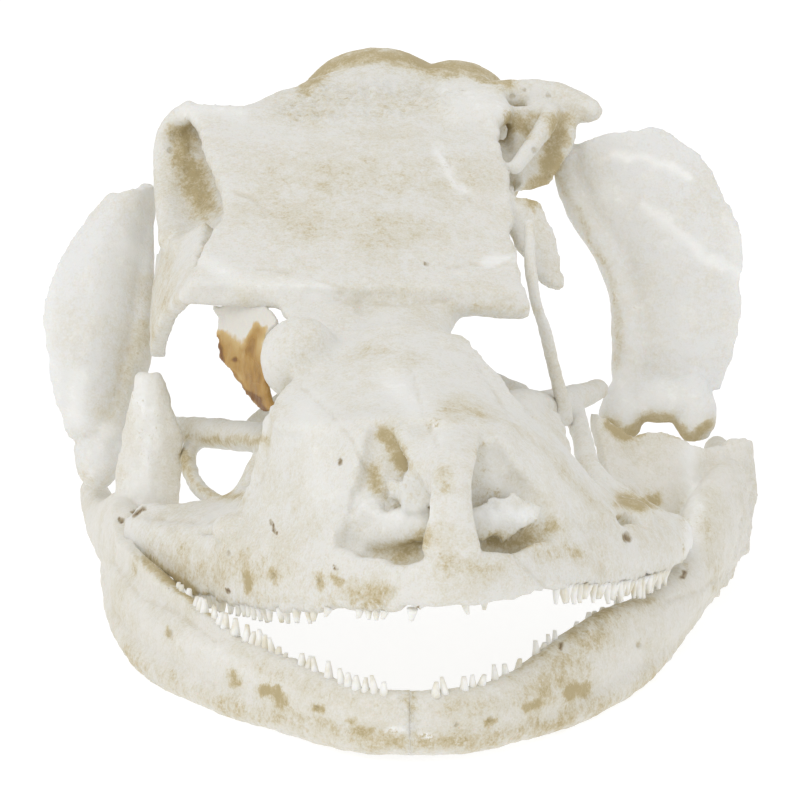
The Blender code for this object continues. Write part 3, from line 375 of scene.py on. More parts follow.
# Maxillae: a tooth-bearing band on each side and the face plate above it.
upper_band_right = sheet([
    [
        (0.0, 1.5, 3.8), (-1.5, 2.8, 3.45), (-2.6, 4.1, 3.0), (-3.9, 6.2, 2.45), (-5.1, 8.7, 2.0),
        (-6.4, 11.5, 1.9), (-7.2, 13.6, 2.15),
    ],
    [
        (-0.1, 1.6, 4.4), (-1.7, 3.2, 4.3), (-2.8, 4.5, 4.05), (-4.0, 6.5, 3.6), (-5.2, 9.1, 3.0),
        (-6.5, 11.8, 2.65), (-7.3, 13.8, 2.5),
    ],
    [
        (0.1, 1.7, 4.9), (-1.6, 3.6, 4.9), (-2.5, 4.9, 4.8), (-3.8, 6.8, 4.2), (-4.8, 9.2, 3.5),
        (-6.3, 12.0, 3.0), (-7.2, 13.9, 2.7),
    ],
])
face_plate_right = sheet([
    [(-1.6, 3.6, 4.9), (-2.5, 4.9, 4.8), (-3.6, 6.8, 4.3), (-4.4, 8.8, 3.9)],
    [(-1.1, 4.1, 5.9), (-2.0, 5.1, 5.9), (-3.1, 6.8, 5.4), (-3.8, 8.6, 4.9)],
    [(-0.9, 4.4, 6.9), (-1.7, 5.5, 6.9), (-2.8, 6.9, 6.5), (-3.6, 8.5, 6.0)],
    [(-0.7, 5.0, 7.6), (-1.6, 6.0, 7.4), (-2.7, 7.2, 7.1), (-3.4, 8.5, 7.1)],
])
upper_band_left = sheet([
    [
        (3.1, 2.4, 4.0), (4.3, 4.3, 3.65), (5.1, 5.7, 3.25), (6.2, 8.2, 2.65), (7.1, 10.7, 2.2),
        (7.6, 13.0, 2.05),
    ],
    [
        (3.0, 2.4, 4.5), (4.4, 4.6, 4.3), (5.3, 6.1, 3.9), (6.3, 8.5, 3.3), (7.2, 11.0, 2.7),
        (7.7, 13.3, 2.3),
    ],
    [
        (2.7, 2.3, 5.0), (4.3, 5.0, 4.9), (5.1, 6.6, 4.6), (6.0, 9.0, 3.8), (6.9, 11.4, 3.1),
        (7.7, 13.6, 2.5),
    ],
])
face_plate_left = sheet([
    [(4.2, 4.9, 5.1), (4.8, 5.8, 4.9), (5.4, 7.4, 4.5), (5.8, 9.6, 4.0)],
    [(3.3, 4.2, 6.2), (4.0, 5.4, 5.9), (4.6, 7.0, 5.4), (5.0, 9.0, 4.9)],
    [(2.7, 4.1, 7.0), (3.3, 5.2, 6.9), (3.9, 6.8, 6.5), (4.2, 8.5, 6.0)],
    [(2.3, 4.3, 7.6), (2.6, 5.6, 7.5), (3.1, 7.0, 7.2), (3.4, 8.7, 6.9)],
])

# Palate: the floor of the nose, then a bar on each side that runs back toward the quadrate.
palate = sheet([
    [(-0.3, 2.4, 4.4), (1.3, 1.8, 4.4), (3.1, 3.2, 4.4)],
    [(-2.4, 5.4, 4.2), (0.9, 5.0, 4.6), (4.4, 5.6, 4.2)],
    [(-3.6, 8.6, 4.2), (0.4, 8.4, 4.7), (5.0, 8.8, 4.2)],
    [(-3.7, 10.8, 4.6), (0.2, 10.2, 4.8), (4.0, 11.0, 4.9)],
])
palate_bar_right = rod([
    (-2.8, 10.6, 4.8, 0.8, 0.34), (-3.2, 12.6, 5.1, 0.6, 0.38), (-3.7, 14.2, 4.85, 0.55, 0.42),
    (-4.7, 16.3, 4.4, 0.42, 0.42), (-5.9, 18.4, 3.95, 0.35, 0.4), (-6.5, 19.4, 3.85, 0.3, 0.3),
])
cheek_bar_right = rod([
    (-6.9, 13.7, 2.9, 0.3), (-5.6, 13.0, 3.1, 0.45, 0.3), (-4.3, 12.6, 3.6, 0.45, 0.3),
    (-3.5, 13.2, 4.7, 0.35),
])
cheek_shelf_right = sheet([
    [(-7.2, 13.8, 2.6), (-6.4, 12.0, 2.9), (-4.9, 9.4, 3.5), (-3.8, 8.8, 4.4)],
    [(-6.8, 14.0, 3.0), (-5.6, 13.1, 3.2), (-4.3, 12.6, 3.6), (-3.5, 11.6, 4.4)],
], 0.4)
cheek_fill_right = ball((-4.3, 8.2, 4.0), (0.65, 0.5, 0.5))
cheek_strip_right = rod([
    (-5.7, 17.8, 3.9, 0.25), (-5.75, 16.2, 3.6, 0.24), (-5.45, 14.9, 3.3, 0.24), (-4.8, 13.9, 3.1, 0.24),
    (-4.2, 12.9, 3.4, 0.24),
])
palate_bar_left = rod([
    (2.8, 10.8, 5.0, 0.8, 0.3), (2.9, 12.6, 5.7, 0.55, 0.3), (3.2, 14.4, 5.8, 0.6, 0.35),
    (3.9, 16.4, 5.2, 0.5, 0.38), (4.9, 18.2, 4.95, 0.36, 0.36), (5.5, 19.6, 4.8, 0.3, 0.3),
])
cheek_bar_left = rod([
    (4.7, 17.6, 4.9, 0.3), (4.95, 15.6, 4.4, 0.28), (5.1, 13.6, 4.2, 0.3), (5.7, 12.6, 3.8, 0.3),
    (6.6, 12.8, 3.2, 0.3), (7.3, 13.3, 2.6, 0.28),
])
cheek_fill_left = ball((5.9, 10.8, 3.65), (0.8, 1.0, 0.45))
palate_plate_left = sheet([
    [(3.1, 13.2, 6.0), (3.7, 14.2, 5.6), (4.2, 15.2, 5.2)],
    [(3.4, 12.2, 5.6), (3.9, 12.6, 5.2), (4.5, 12.8, 4.6)],
], 0.4)
cheek_shelf_left = sheet([
    [(7.7, 13.5, 2.6), (6.9, 11.6, 3.1), (5.9, 9.4, 3.9), (5.0, 9.0, 4.8)],
    [(7.3, 13.5, 2.8), (6.5, 12.8, 3.3), (5.6, 12.4, 3.8), (5.0, 12.2, 4.3)],
], 0.4)

brain_hollow = rod([
    (-0.4, 17.2, 9.2, 1.1, 0.7), (-0.2, 19.6, 9.3, 1.6, 1.2), (0.0, 22.0, 9.7, 2.1, 1.6),
    (0.1, 24.0, 10.2, 1.8, 1.4), (0.1, 25.2, 10.1, 1.0, 0.8), (0.1, 27.4, 10.0, 0.8, 0.7),
])
cranium = fused("skull_cranium", [
    parietal, parietal_lobe, braincase, dome_right, dome_left, dome_back, roof_behind, neck_joint, keel,
    keel_process_right, keel_process_left, ear_wall_left, ear_wall_right, ear_bar_left, ear_brace_left,
    ear_back_left, ear_flap_left, ear_bar_right, back_ridge_right, eye_strip_right, hollow_right,
    outer_rim_right, frontal, snout_roof, eye_bulge_right, eye_front_wall_right, eye_front_wall_left,
    nose_bar, nose_plate, upper_band_right, face_plate_right, upper_band_left, face_plate_left, palate,
    palate_bar_right, cheek_bar_right, cheek_shelf_right, cheek_strip_right, palate_bar_left,
    cheek_bar_left, cheek_shelf_left, brow, brow_wing_right, nose_edge_right, nose_wall, nose_flake_right,
    nose_scroll_right, nose_scroll_left, cheek_fill_right, cheek_fill_left, palate_plate_left,
], BONE_GRAIN, cut=brain_hollow)


# The surface of the bone. Colour and relief are marks on a plane through the middle of the skull, facing a
# viewer 200 mm in front who looks down by fifteen degrees. A mark has its place in pixels of that view and
# its width in millimetres. It's laid on the surface that the viewer sees there, and stays on it.
VIEW_TILT = np.radians(15.0)
VIEW_DISTANCE = 200.0
VIEW_TARGET = np.array([-0.02, -2.73, 6.78])
VIEW_AHEAD = np.array([0.0, np.cos(VIEW_TILT), -np.sin(VIEW_TILT)])
VIEW_UP = np.array([0.0, np.sin(VIEW_TILT), np.cos(VIEW_TILT)])
EYE = VIEW_TARGET - VIEW_DISTANCE * VIEW_AHEAD
FRAME_MIDDLE = 400  # pixels
FRAME_SCALE = 37.9  # pixels to a millimetre of the drawing plane
NOISE_SEED = 11
noise.seed_set(NOISE_SEED)


def drawn(points):
    """Where points of the object, in millimetres, fall on the drawing plane."""
    ray = points - EYE
    far = ray @ VIEW_AHEAD / VIEW_DISTANCE
    return np.stack([ray[:, 0] / far, (ray @ VIEW_UP) / far], axis=1)


def placed(pixels):
    """Pixels of the view as millimetres on the drawing plane, to the nearest hundredth."""
    across, down = np.array(pixels, float).T
    return np.round(np.stack([across - FRAME_MIDDLE, FRAME_MIDDLE - down], axis=1) / FRAME_SCALE, 2)


def line_distance(spots, pixels):
    """Distance of spots on the drawing plane from a line through pixels of the view."""
    line = placed(pixels)
    best = np.full(len(spots), np.inf)
    for a, b in zip(line, line[1:]):
        t = np.clip((spots - a) @ (b - a) / max((b - a) @ (b - a), 1e-9), 0, 1)
        best = np.minimum(best, np.linalg.norm(spots - a - t[:, None] * (b - a), axis=1))
    return best


def painted(spots, marks):
    """How strongly the marks cover each spot. A mark has its name, line, half width and strength."""
    cover = np.zeros(len(spots))
    for place, line, radius, strength in marks:
        mark = strength * np.exp(-0.9 * (line_distance(spots, line) / radius) ** 2)
        cover = np.maximum(cover, mark) + 0.25 * np.minimum(cover, mark)
    return cover


def of_each_vertex(bone, name):
    """A vector that the mesh holds for each vertex, such as co or normal."""
    values = np.empty(len(bone.data.vertices) * 3, np.float32)
    bone.data.vertices.foreach_get(name, values)
    return values.reshape(-1, 3).astype(float)


def store(bone, name, values):
    attribute = bone.data.attributes.new(name, "FLOAT", "POINT")
    attribute.data.foreach_set("value", np.asarray(values, np.float32))


SKY_RAYS = 40
GOLDEN_ANGLE = 2.399963
turn = np.arange(SKY_RAYS) * GOLDEN_ANGLE
rise = 1 - (np.arange(SKY_RAYS) + 0.5) * 2 / SKY_RAYS
level = np.sqrt(1 - rise**2)
SKY = np.stack([np.cos(turn) * level, np.sin(turn) * level, rise], axis=1)
CLEAR = 0.06  # how far above the surface a ray starts
SKULL_LENGTH = 30.0
FAR = 9.0  # more radii than any mark reaches


def weathered_and_shaded(bone, swell=0.045, tan=(), brown=(), chalk=(), rough=(), lines=(), pits=(), reach=2.6):
    """Gives the bone relief, then stores what its material reads: an attribute for each kind of mark, and
    hollow for painted shade.
    """
    points, normals = of_each_vertex(bone, "co") / MM, of_each_vertex(bone, "normal")
    tree = BVHTree.FromObject(bone, bpy.context.evaluated_depsgraph_get())
    facing = normals @ SKY.T
    # hollow: how much of the sky the bone itself blocks over each vertex. The material paints it as shade,
    # tan to ochre in the recesses.
    hollow = np.zeros(len(points))
    seen = np.zeros(len(points), bool)
    for k, (point, normal) in enumerate(zip(points, normals)):
        start = Vector(point + normal * CLEAR) * MM
        blocked, asked = 0.0, 0.0
        for ray in np.nonzero(facing[k] > 0.25)[0]:
            weight = facing[k, ray]
            asked += weight
            hit = tree.ray_cast(start, SKY[ray], reach * MM)[3]
            if hit is not None:
                blocked += weight * (1 - hit / (reach * MM)) ** 0.5
        hollow[k] = blocked / max(asked, 1e-6)
        back = EYE - point
        if normal @ back > 0.02 * VIEW_DISTANCE:
            seen[k] = tree.ray_cast(start, back, SKULL_LENGTH * MM)[0] is None
    spots = drawn(points)
    line = np.full(len(points), 1.0)
    for place, pixels in lines:
        line = np.minimum(line, line_distance(spots, pixels))
    line[~seen] = 1.0
    pit = np.full(len(points), FAR)
    for pixel, radius in pits:
        pit = np.minimum(pit, np.linalg.norm(spots - placed([pixel]), axis=1) / radius)
    pit[~seen] = FAR
    coarse = np.array([noise.noise_vector(Vector(p) * 1.6) for p in points])
    fine = np.array([noise.noise_vector(Vector(p) * 4.5) for p in points])
    ragged = spots + (0.10 * coarse + 0.06 * fine)[:, :2]
    dark = np.full(len(points), FAR)
    for place, pixels, radius in brown:
        dark = np.minimum(dark, line_distance(ragged, pixels) / radius)
    dark[~seen] = FAR
    spongy = painted(spots, rough) * seen
    swelling = np.array([noise.fractal(Vector(p) * 0.55, 1.0, 2.0, 3) for p in points])
    pitting = np.array([noise.fractal(Vector(p) * 2.6, 0.8, 2.1, 3) for p in points])
    spikes = np.array([noise.noise(Vector((p[0] * 4.2, p[1] * 1.4, p[2] * 1.4))) for p in points])
    lift = swell * swelling + 0.022 * pitting + spongy * (0.13 * spikes + 0.05 * pitting)
    lift -= 0.03 * np.exp(-((line / 0.08) ** 2))
    lift -= 0.06 * np.exp(-((pit / 0.9) ** 2))
    moved = (points + normals * lift[:, None]) * MM
    bone.data.vertices.foreach_set("co", moved.astype(np.float32).ravel())
    store(bone, "hollow", hollow)
    store(bone, "tan", painted(ragged, tan) * seen)
    store(bone, "brown", dark)
    store(bone, "chalk", painted(ragged, chalk) * seen)
    store(bone, "rough", spongy)
    store(bone, "line", line)
    store(bone, "pit", pit)
    bone.data.update()


TAN_MARKS = [
    ("domed back of the braincase", [
        (306, 84), (330, 64), (362, 54), (400, 57), (435, 64), (465, 66), (490, 74), (506, 82),
    ], 0.32, 1.0),
    # These marks in the hollows beside the roof and below the ear bar are partly the bone's own tan and
    # partly painted shade, darkening recesses that lie in shadow.
    ("hollow beside the roof, right", [(180, 134), (184, 160), (196, 186), (204, 206)], 0.42, 0.95),
    ("its deepest part", [(205, 180), (208, 205)], 0.24, 0.5),
    ("hollow beside the roof, left", [(562, 122), (556, 150), (545, 178), (530, 196)], 0.34, 1.0),
    ("second hollow there", [(512, 120), (524, 128)], 0.29, 0.95),
    ("below the ear bar", [(530, 116), (566, 116)], 0.18, 0.6),
    ("flap beside the roof", [(532, 205), (540, 235), (550, 262), (562, 288)], 0.21, 0.3),
    ("spongy band behind the roof", [(288, 114), (330, 106), (400, 104), (440, 110)], 0.32, 0.34),
    ("middle of the roof", [(275, 180), (360, 188), (450, 176)], 0.95, 0.36),
    ("middle of the roof, front", [(270, 226), (340, 238), (430, 228)], 0.79, 0.32),
    ("front edge of the roof", [(452, 309), (500, 308), (535, 310)], 0.16, 0.4),
    ("side of the head, right", [(166, 262), (160, 300), (150, 340)], 0.32, 0.4),
    ("quadrate column, right", [(150, 285), (144, 330), (126, 370), (108, 412)], 0.50, 0.4),
    ("frontal", [(362, 350), (385, 352), (410, 358)], 0.24, 0.4),
    ("palate bar, right", [(186, 438), (230, 441), (268, 441)], 0.18, 0.7),
    ("cheek strip", [(184, 455), (189, 478), (205, 492), (240, 497)], 0.18, 0.75),
    ("quadrate column, left", [
        (566, 160), (578, 200), (602, 250), (626, 290), (634, 330), (634, 366),
    ], 0.53, 0.26),
    ("inner edge of that column", [
        (558, 168), (570, 205), (594, 242), (610, 278), (619, 312), (620, 345), (614, 372),
    ], 0.16, 0.5),
    ("jaw joint, left, lower rim", [
        (610, 424), (622, 434), (634, 432), (644, 424), (655, 418), (668, 421), (680, 432), (694, 438),
        (708, 424),
    ], 0.24, 1.0),
    ("jaw joint, right", [(82, 470), (96, 488), (118, 470)], 0.21, 0.4),
    ("nostril, right, inside", [(385, 434), (394, 448), (403, 464)], 0.29, 1.0),
    ("nostril, right, beside it", [(374, 472), (379, 490)], 0.24, 0.95),
    ("nostril, right, floor", [(398, 556), (414, 552), (424, 534)], 0.24, 0.75),
    ("nostril, left, inside", [(478, 450), (484, 474), (492, 492)], 0.47, 0.5),
    ("nostril, left, floor", [(492, 540), (528, 540), (556, 526)], 0.29, 0.7),
    ("bar between the nostrils", [(444, 472), (446, 490)], 0.21, 0.55),
    ("above the left nostril", [(430, 422), (450, 412), (480, 416)], 0.32, 0.45),
    ("crack of the cheek, right", [(146, 560), (176, 583), (214, 609)], 0.18, 1.0),
    ("cheek, right, lower", [(160, 548), (205, 570), (246, 568)], 0.69, 0.45),
    ("face above the teeth, right", [(262, 562), (320, 584), (376, 592)], 0.58, 0.34),
    ("above the teeth, right", [(247, 578), (247, 590)], 0.16, 0.95),
    ("above the teeth, right, upper", [(243, 556), (246, 566)], 0.18, 0.6),
    ("above the teeth, right, middle", [(273, 570), (273, 582)], 0.13, 0.85),
    ("above the teeth, right, next", [(318, 574), (319, 586)], 0.13, 0.8),
    ("above the teeth, right, front", [(336, 576), (341, 581)], 0.13, 0.9),
    ("side of the tip, right", [(352, 588), (372, 592), (384, 590)], 0.37, 0.6),
    ("tooth band, right", [(205, 598), (260, 600), (320, 602), (380, 602)], 0.21, 0.35),
    ("end of the cheek, right", [(135, 552), (136, 570)], 0.13, 0.5),
    ("above the teeth, left", [(546, 556), (566, 548), (580, 556)], 0.32, 0.5),
    ("blot above the teeth, left", [(577, 548), (578, 554)], 0.13, 0.6),
    ("end of the teeth, left", [(683, 520), (686, 545), (684, 572)], 0.16, 0.45),
    ("tooth band, left", [(600, 572), (640, 574), (674, 570)], 0.21, 0.25),
    ("upper face, left", [(562, 468), (592, 500), (622, 520), (660, 538)], 0.24, 0.3),
    ("tip of the snout", [(446, 566), (486, 570)], 0.40, 0.5),
    ("bar between the nostrils, lower", [(440, 520), (452, 560)], 0.32, 0.25),
    ("notch of the cheek, left", [(622, 500), (640, 504), (656, 500)], 0.26, 0.95),
    ("lower edge of the jaw, right", [
        (120, 650), (165, 682), (240, 710), (310, 728), (400, 742),
    ], 0.40, 0.5),
    ("lower edge of the jaw, left", [
        (400, 742), (480, 742), (560, 724), (640, 690), (700, 640), (740, 590),
    ], 0.40, 0.55),
    ("jaw, front, right", [(250, 660), (320, 690), (380, 705)], 0.37, 0.3),
    ("jaw, front, left", [(430, 706), (500, 706), (560, 684)], 0.37, 0.4),
    ("blot on the jaw, right", [(168, 630), (170, 636)], 0.11, 0.8),
    ("faint blot on the jaw, right", [(151, 607), (152, 609)], 0.11, 0.5),
    ("first blot of the chin, right", [(233, 673), (236, 682)], 0.17, 0.95),
    ("second blot of the chin, right", [(260, 691), (276, 692), (282, 704)], 0.20, 0.95),
    ("third blot of the chin, right", [(312, 708), (320, 708)], 0.12, 0.9),
    ("fourth blot of the chin, right", [(350, 718), (356, 719)], 0.09, 0.8),
    ("lower edge of the chin, right", [(296, 716), (330, 724), (372, 730)], 0.18, 0.55),
    ("seam of the chin", [(408, 692), (411, 718)], 0.21, 0.55),
    ("first blot of the chin, left", [(572, 692), (584, 690)], 0.24, 0.95),
    ("second blot of the chin, left", [(525, 709), (540, 704)], 0.16, 0.95),
    ("third blot of the chin, left", [(486, 722), (492, 720)], 0.11, 0.8),
    ("faint blot of the jaw, left", [(639, 643), (640, 647)], 0.11, 0.5),
    ("edge of the jaw below the teeth, left", [
        (572, 634), (590, 614), (618, 606), (650, 600),
    ], 0.32, 0.6),
    ("edge of the jaw, left, front", [(510, 676), (540, 658), (566, 636)], 0.18, 0.4),
    ("jaw, left flank", [(548, 684), (580, 656), (600, 632)], 0.69, 0.52),
    ("jaw, right flank", [(112, 560), (122, 610), (150, 645)], 0.29, 0.22),
    ("jaw behind the joint, left", [(705, 520), (715, 560), (720, 590)], 0.32, 0.35),
]
# Small holes, slits and specks. Their dark is partly brown staining and partly painted shade for the depth
# of holes that the mesh only dents.
BROWN_MARKS = [
    ("hole in the cheek, left", [(626, 537), (629, 541)], 0.11),
    ("hole in the cheek, right", [(271, 523), (278, 531)], 0.07),
    ("hole at the end of the cheek", [(121, 520), (122, 521)], 0.07),
    ("crack at the end of the cheek", [(134, 514), (143, 508)], 0.08),
    ("hole in the snout, right", [(340, 460), (341, 462)], 0.07),
    ("hole in the roof", [(427, 262), (428, 264)], 0.07),
    ("hole above the teeth, right", [(336, 566), (337, 568)], 0.06),
    ("hole among the teeth, right", [(228, 588), (229, 590)], 0.06),
    ("slit in the tip", [(415, 617), (419, 609)], 0.06),
    ("speck on the jaw, left", [(562, 642), (561, 647)], 0.07),
    ("end of the teeth, left", [(681, 577), (684, 573)], 0.08),
]
CHALK_AND_LIGHT_MARKS = [
    ("right edge of the roof", [(205, 262), (240, 280), (325, 288)], 0.21, 0.6),
    ("wing of the roof, right", [(182, 114), (205, 108), (240, 114)], 0.24, 0.6),
    ("rear corner of the roof, left", [(450, 95), (478, 98), (498, 112)], 0.45, 0.6),
    ("flaked patch", [(438, 150), (448, 170), (462, 192)], 0.13, 0.9),
    ("flake on the front", [(486, 262), (518, 258)], 0.11, 0.9),
    ("nasal bones", [(388, 378), (408, 400), (436, 428)], 0.37, 0.6),
    ("face, right", [(305, 412), (318, 450), (320, 490)], 0.47, 0.4),
    ("face, left", [(530, 450), (566, 500)], 0.32, 0.3),
    ("cheek, left", [(690, 450), (694, 500), (690, 552)], 0.24, 0.8),
    ("coronoid, right", [(142, 385), (150, 430), (142, 490)], 0.42, 0.9),
    ("fleck on the chin", [(390, 729), (405, 728)], 0.08, 1.0),
    ("second fleck on the chin", [(422, 735), (432, 738)], 0.08, 1.0),
    ("third fleck on the chin", [(457, 742), (463, 742)], 0.08, 1.0),
    ("fragment in the left nostril", [(488, 512), (510, 518), (532, 514)], 0.24, 1.0),
    # Painted light: this mark lifts the deep inner wall of the left nostril, which lies in shade, to a pale
    # tone.
    ("inner wall of the left nostril", [(484, 462), (496, 492)], 0.53, 0.5),
    ("fragment in the right nostril", [(360, 500), (392, 520), (424, 512)], 0.24, 0.6),
    ("jaw, right", [(180, 640), (230, 660), (280, 690)], 0.21, 0.3),
]
ROUGH_MARKS = [
    ("spongy band behind the roof", [(290, 104), (330, 92), (400, 92), (448, 96)], 0.37, 1.0),
    ("second row of the band", [(300, 116), (350, 117), (404, 112)], 0.18, 0.8),
    ("rim of the jaw, right", [(228, 606), (256, 628), (290, 652)], 0.24, 0.8),
    ("tooth band, right", [(210, 596), (260, 604), (330, 606), (380, 602)], 0.24, 0.7),
    ("tooth band, left", [(560, 580), (610, 584), (668, 574)], 0.21, 0.7),
    ("chin", [(404, 700), (412, 726)], 0.32, 1.0),
    ("ridges of the quadrate, left", [(612, 158), (650, 162), (692, 182)], 0.16, 0.7),
    ("lower ridge there", [(640, 190), (680, 232), (738, 276)], 0.16, 0.7),
    ("coronoid, right", [(152, 385), (152, 440), (152, 500)], 0.42, 0.45),
    ("scroll of the nose, right", [(352, 512), (392, 500), (420, 492)], 0.53, 1.0),
    ("scroll of the nose, left", [(490, 510), (530, 518)], 0.26, 1.0),
    ("rear edge of the jaw, left", [(746, 462), (753, 510), (742, 566), (716, 604)], 0.34, 1.0),
    ("hollow beside the roof", [(180, 134), (196, 186), (206, 208)], 0.21, 0.5),
    ("jaw, left, flank", [(580, 640), (620, 620)], 0.32, 0.5),
]
LINES = [
    ("between the nasals", [(412, 370), (419, 398), (427, 422), (438, 446)]),
    ("roof meets frontal", [(330, 299), (372, 304), (410, 303), (448, 301)]),
    ("tip plate, right", [(399, 577), (391, 596), (381, 614)]),
    ("tip plate, left", [(510, 554), (530, 572), (548, 590)]),
    ("face, right", [(276, 402), (268, 440), (262, 478), (238, 506)]),
    ("face, right, lower", [(150, 516), (205, 523), (240, 512)]),
    ("nasal and face, right", [(300, 385), (330, 412), (352, 440), (370, 476)]),
    ("nasal and face, left", [(480, 366), (500, 400), (520, 430), (548, 452)]),
    ("face, left, lower", [(566, 505), (590, 540), (606, 575)]),
    ("flake of the roof", [(436, 146), (448, 158), (452, 172), (462, 190), (472, 202)]),
    ("front flake of the roof", [(448, 268), (470, 262), (498, 266), (520, 256)]),
    ("crack at the front of the roof", [(258, 268), (300, 272), (345, 290)]),
    ("crack of the roof, right", [(222, 190), (250, 196), (268, 210)]),
    ("lower jaw, right", [(112, 560), (140, 596), (176, 612), (214, 640)]),
    ("lower jaw, left", [(738, 566), (700, 590), (668, 600)]),
]
PITS = [
    ((272, 576), 0.08), ((318, 580), 0.08), ((228, 553), 0.07), ((169, 633), 0.09), ((316, 708), 0.08),
    ((457, 725), 0.08), ((490, 720), 0.09), ((121, 520), 0.08), ((138, 512), 0.08), ((512, 96), 0.08),
    ((524, 90), 0.08), ((548, 95), 0.08), ((535, 150), 0.08), ((548, 176), 0.08), ((627, 538), 0.11),
    ((340, 461), 0.07), ((427, 263), 0.07), ((639, 645), 0.08), ((170, 150), 0.08),
]


# Dry bone: ivory on open surfaces, tan and then ochre in the hollows, which is painted shade over the
# bone's own staining, chalky on thin edges, with a few pale marks of painted light in shaded recesses,
# brown to near black in the small holes that vessels left, partly staining and partly painted shade, and a
# fine grain all over.
class Socket:
    """A shader value. Arithmetic on it adds Math nodes to its tree."""

    def __init__(self, tree, link):
        self.tree, self.link = tree, link

    def math(self, operation, *values):
        return node(self.tree, "ShaderNodeMath", {"operation": operation}, *values)

    def __add__(self, other):
        return self.math("ADD", self, other)

    def __sub__(self, other):
        return self.math("SUBTRACT", self, other)

    def __mul__(self, other):
        return self.math("MULTIPLY", self, other)

    def __rsub__(self, other):
        return self.math("SUBTRACT", other, self)

    __radd__ = __add__
    __rmul__ = __mul__

    def least(self, other):
        return self.math("MINIMUM", self, other)

    def ramp(self, low, high):
        """0 at low, 1 at high, smooth between. low may be above high."""
        return node(
            self.tree, "ShaderNodeMapRange", {"interpolation_type": "SMOOTHSTEP"}, self, low, high, 0.0, 1.0
        )


def node(tree, kind, settings, *values, output=0, **named):
    """Adds a node. Settings come first, then the values or links of its sockets."""
    made = tree.nodes.new(kind)
    for name, value in settings.items():
        if name == "stops":
            stops = made.color_ramp.elements
            while len(stops) < len(value):
                stops.new(0.5)
            for stop, (place, colour) in zip(stops, value):
                stop.position = place
                stop.color = (*colour, 1)
        else:
            setattr(made, name, value)
    inputs = list(zip(made.inputs, values)) + [(made.inputs[name], value) for name, value in named.items()]
    for socket, value in inputs:
        if isinstance(value, Socket):
            tree.links.new(value.link, socket)
        elif value is not None:
            socket.default_value = value
    return Socket(tree, made.outputs[output])


def blend(tree, factor, first, second):
    """A colour between two."""
    mix = tree.nodes.new("ShaderNodeMix")
    mix.data_type = "RGBA"
    for socket, value in ((mix.inputs[0], factor), (mix.inputs[6], first), (mix.inputs[7], second)):
        if isinstance(value, Socket):
            tree.links.new(value.link, socket)
        else:
            socket.default_value = value if isinstance(value, float) else (*value, 1)
    return Socket(tree, mix.outputs[2])


def empty_material(name, **constants):
    """A material, its tree and its Principled node, with these values set on it."""
    made = bpy.data.materials.new(name)
    made.use_nodes = True
    tree = made.node_tree
    surface = tree.nodes["Principled BSDF"]
    for socket, value in constants.items():
        surface.inputs[socket.replace("_", " ")].default_value = value
    return made, tree, surface


def millimetres(tree):
    """The place on the object, in millimetres."""
    metres = node(tree, "ShaderNodeTexCoord", {}, output=3)
    return node(tree, "ShaderNodeVectorMath", {"operation": "SCALE"}, metres, Scale=1 / MM)


def stored(tree, *names):
    """What weathered() stored under each name."""
    return [node(tree, "ShaderNodeAttribute", {"attribute_name": name}, output=2) for name in names]


def finished(tree, surface, colour, roughness, height):
    """Gives the surface its colour and, where they aren't None, its roughness and its relief."""
    tree.links.new(colour.link, surface.inputs["Base Color"])
    if roughness:
        tree.links.new(roughness.link, surface.inputs["Roughness"])
    if height:
        bump = node(tree, "ShaderNodeBump", {}, Strength=0.6, Distance=0.001, Height=height)
        tree.links.new(bump.link, surface.inputs["Normal"])


IVORY = (0.76, 0.75, 0.71)
WARM_IVORY = (0.68, 0.645, 0.54)
TAN = (0.58, 0.505, 0.34)
OCHRE = (0.46, 0.375, 0.205)
CHALK = (0.88, 0.88, 0.86)
BROWN = (0.30, 0.22, 0.10)
# Near black: painted shade for the depth of small holes that the mesh only dents, over their brownish
# staining.
RUST_AND_HOLE_SHADE = (0.10, 0.045, 0.012)


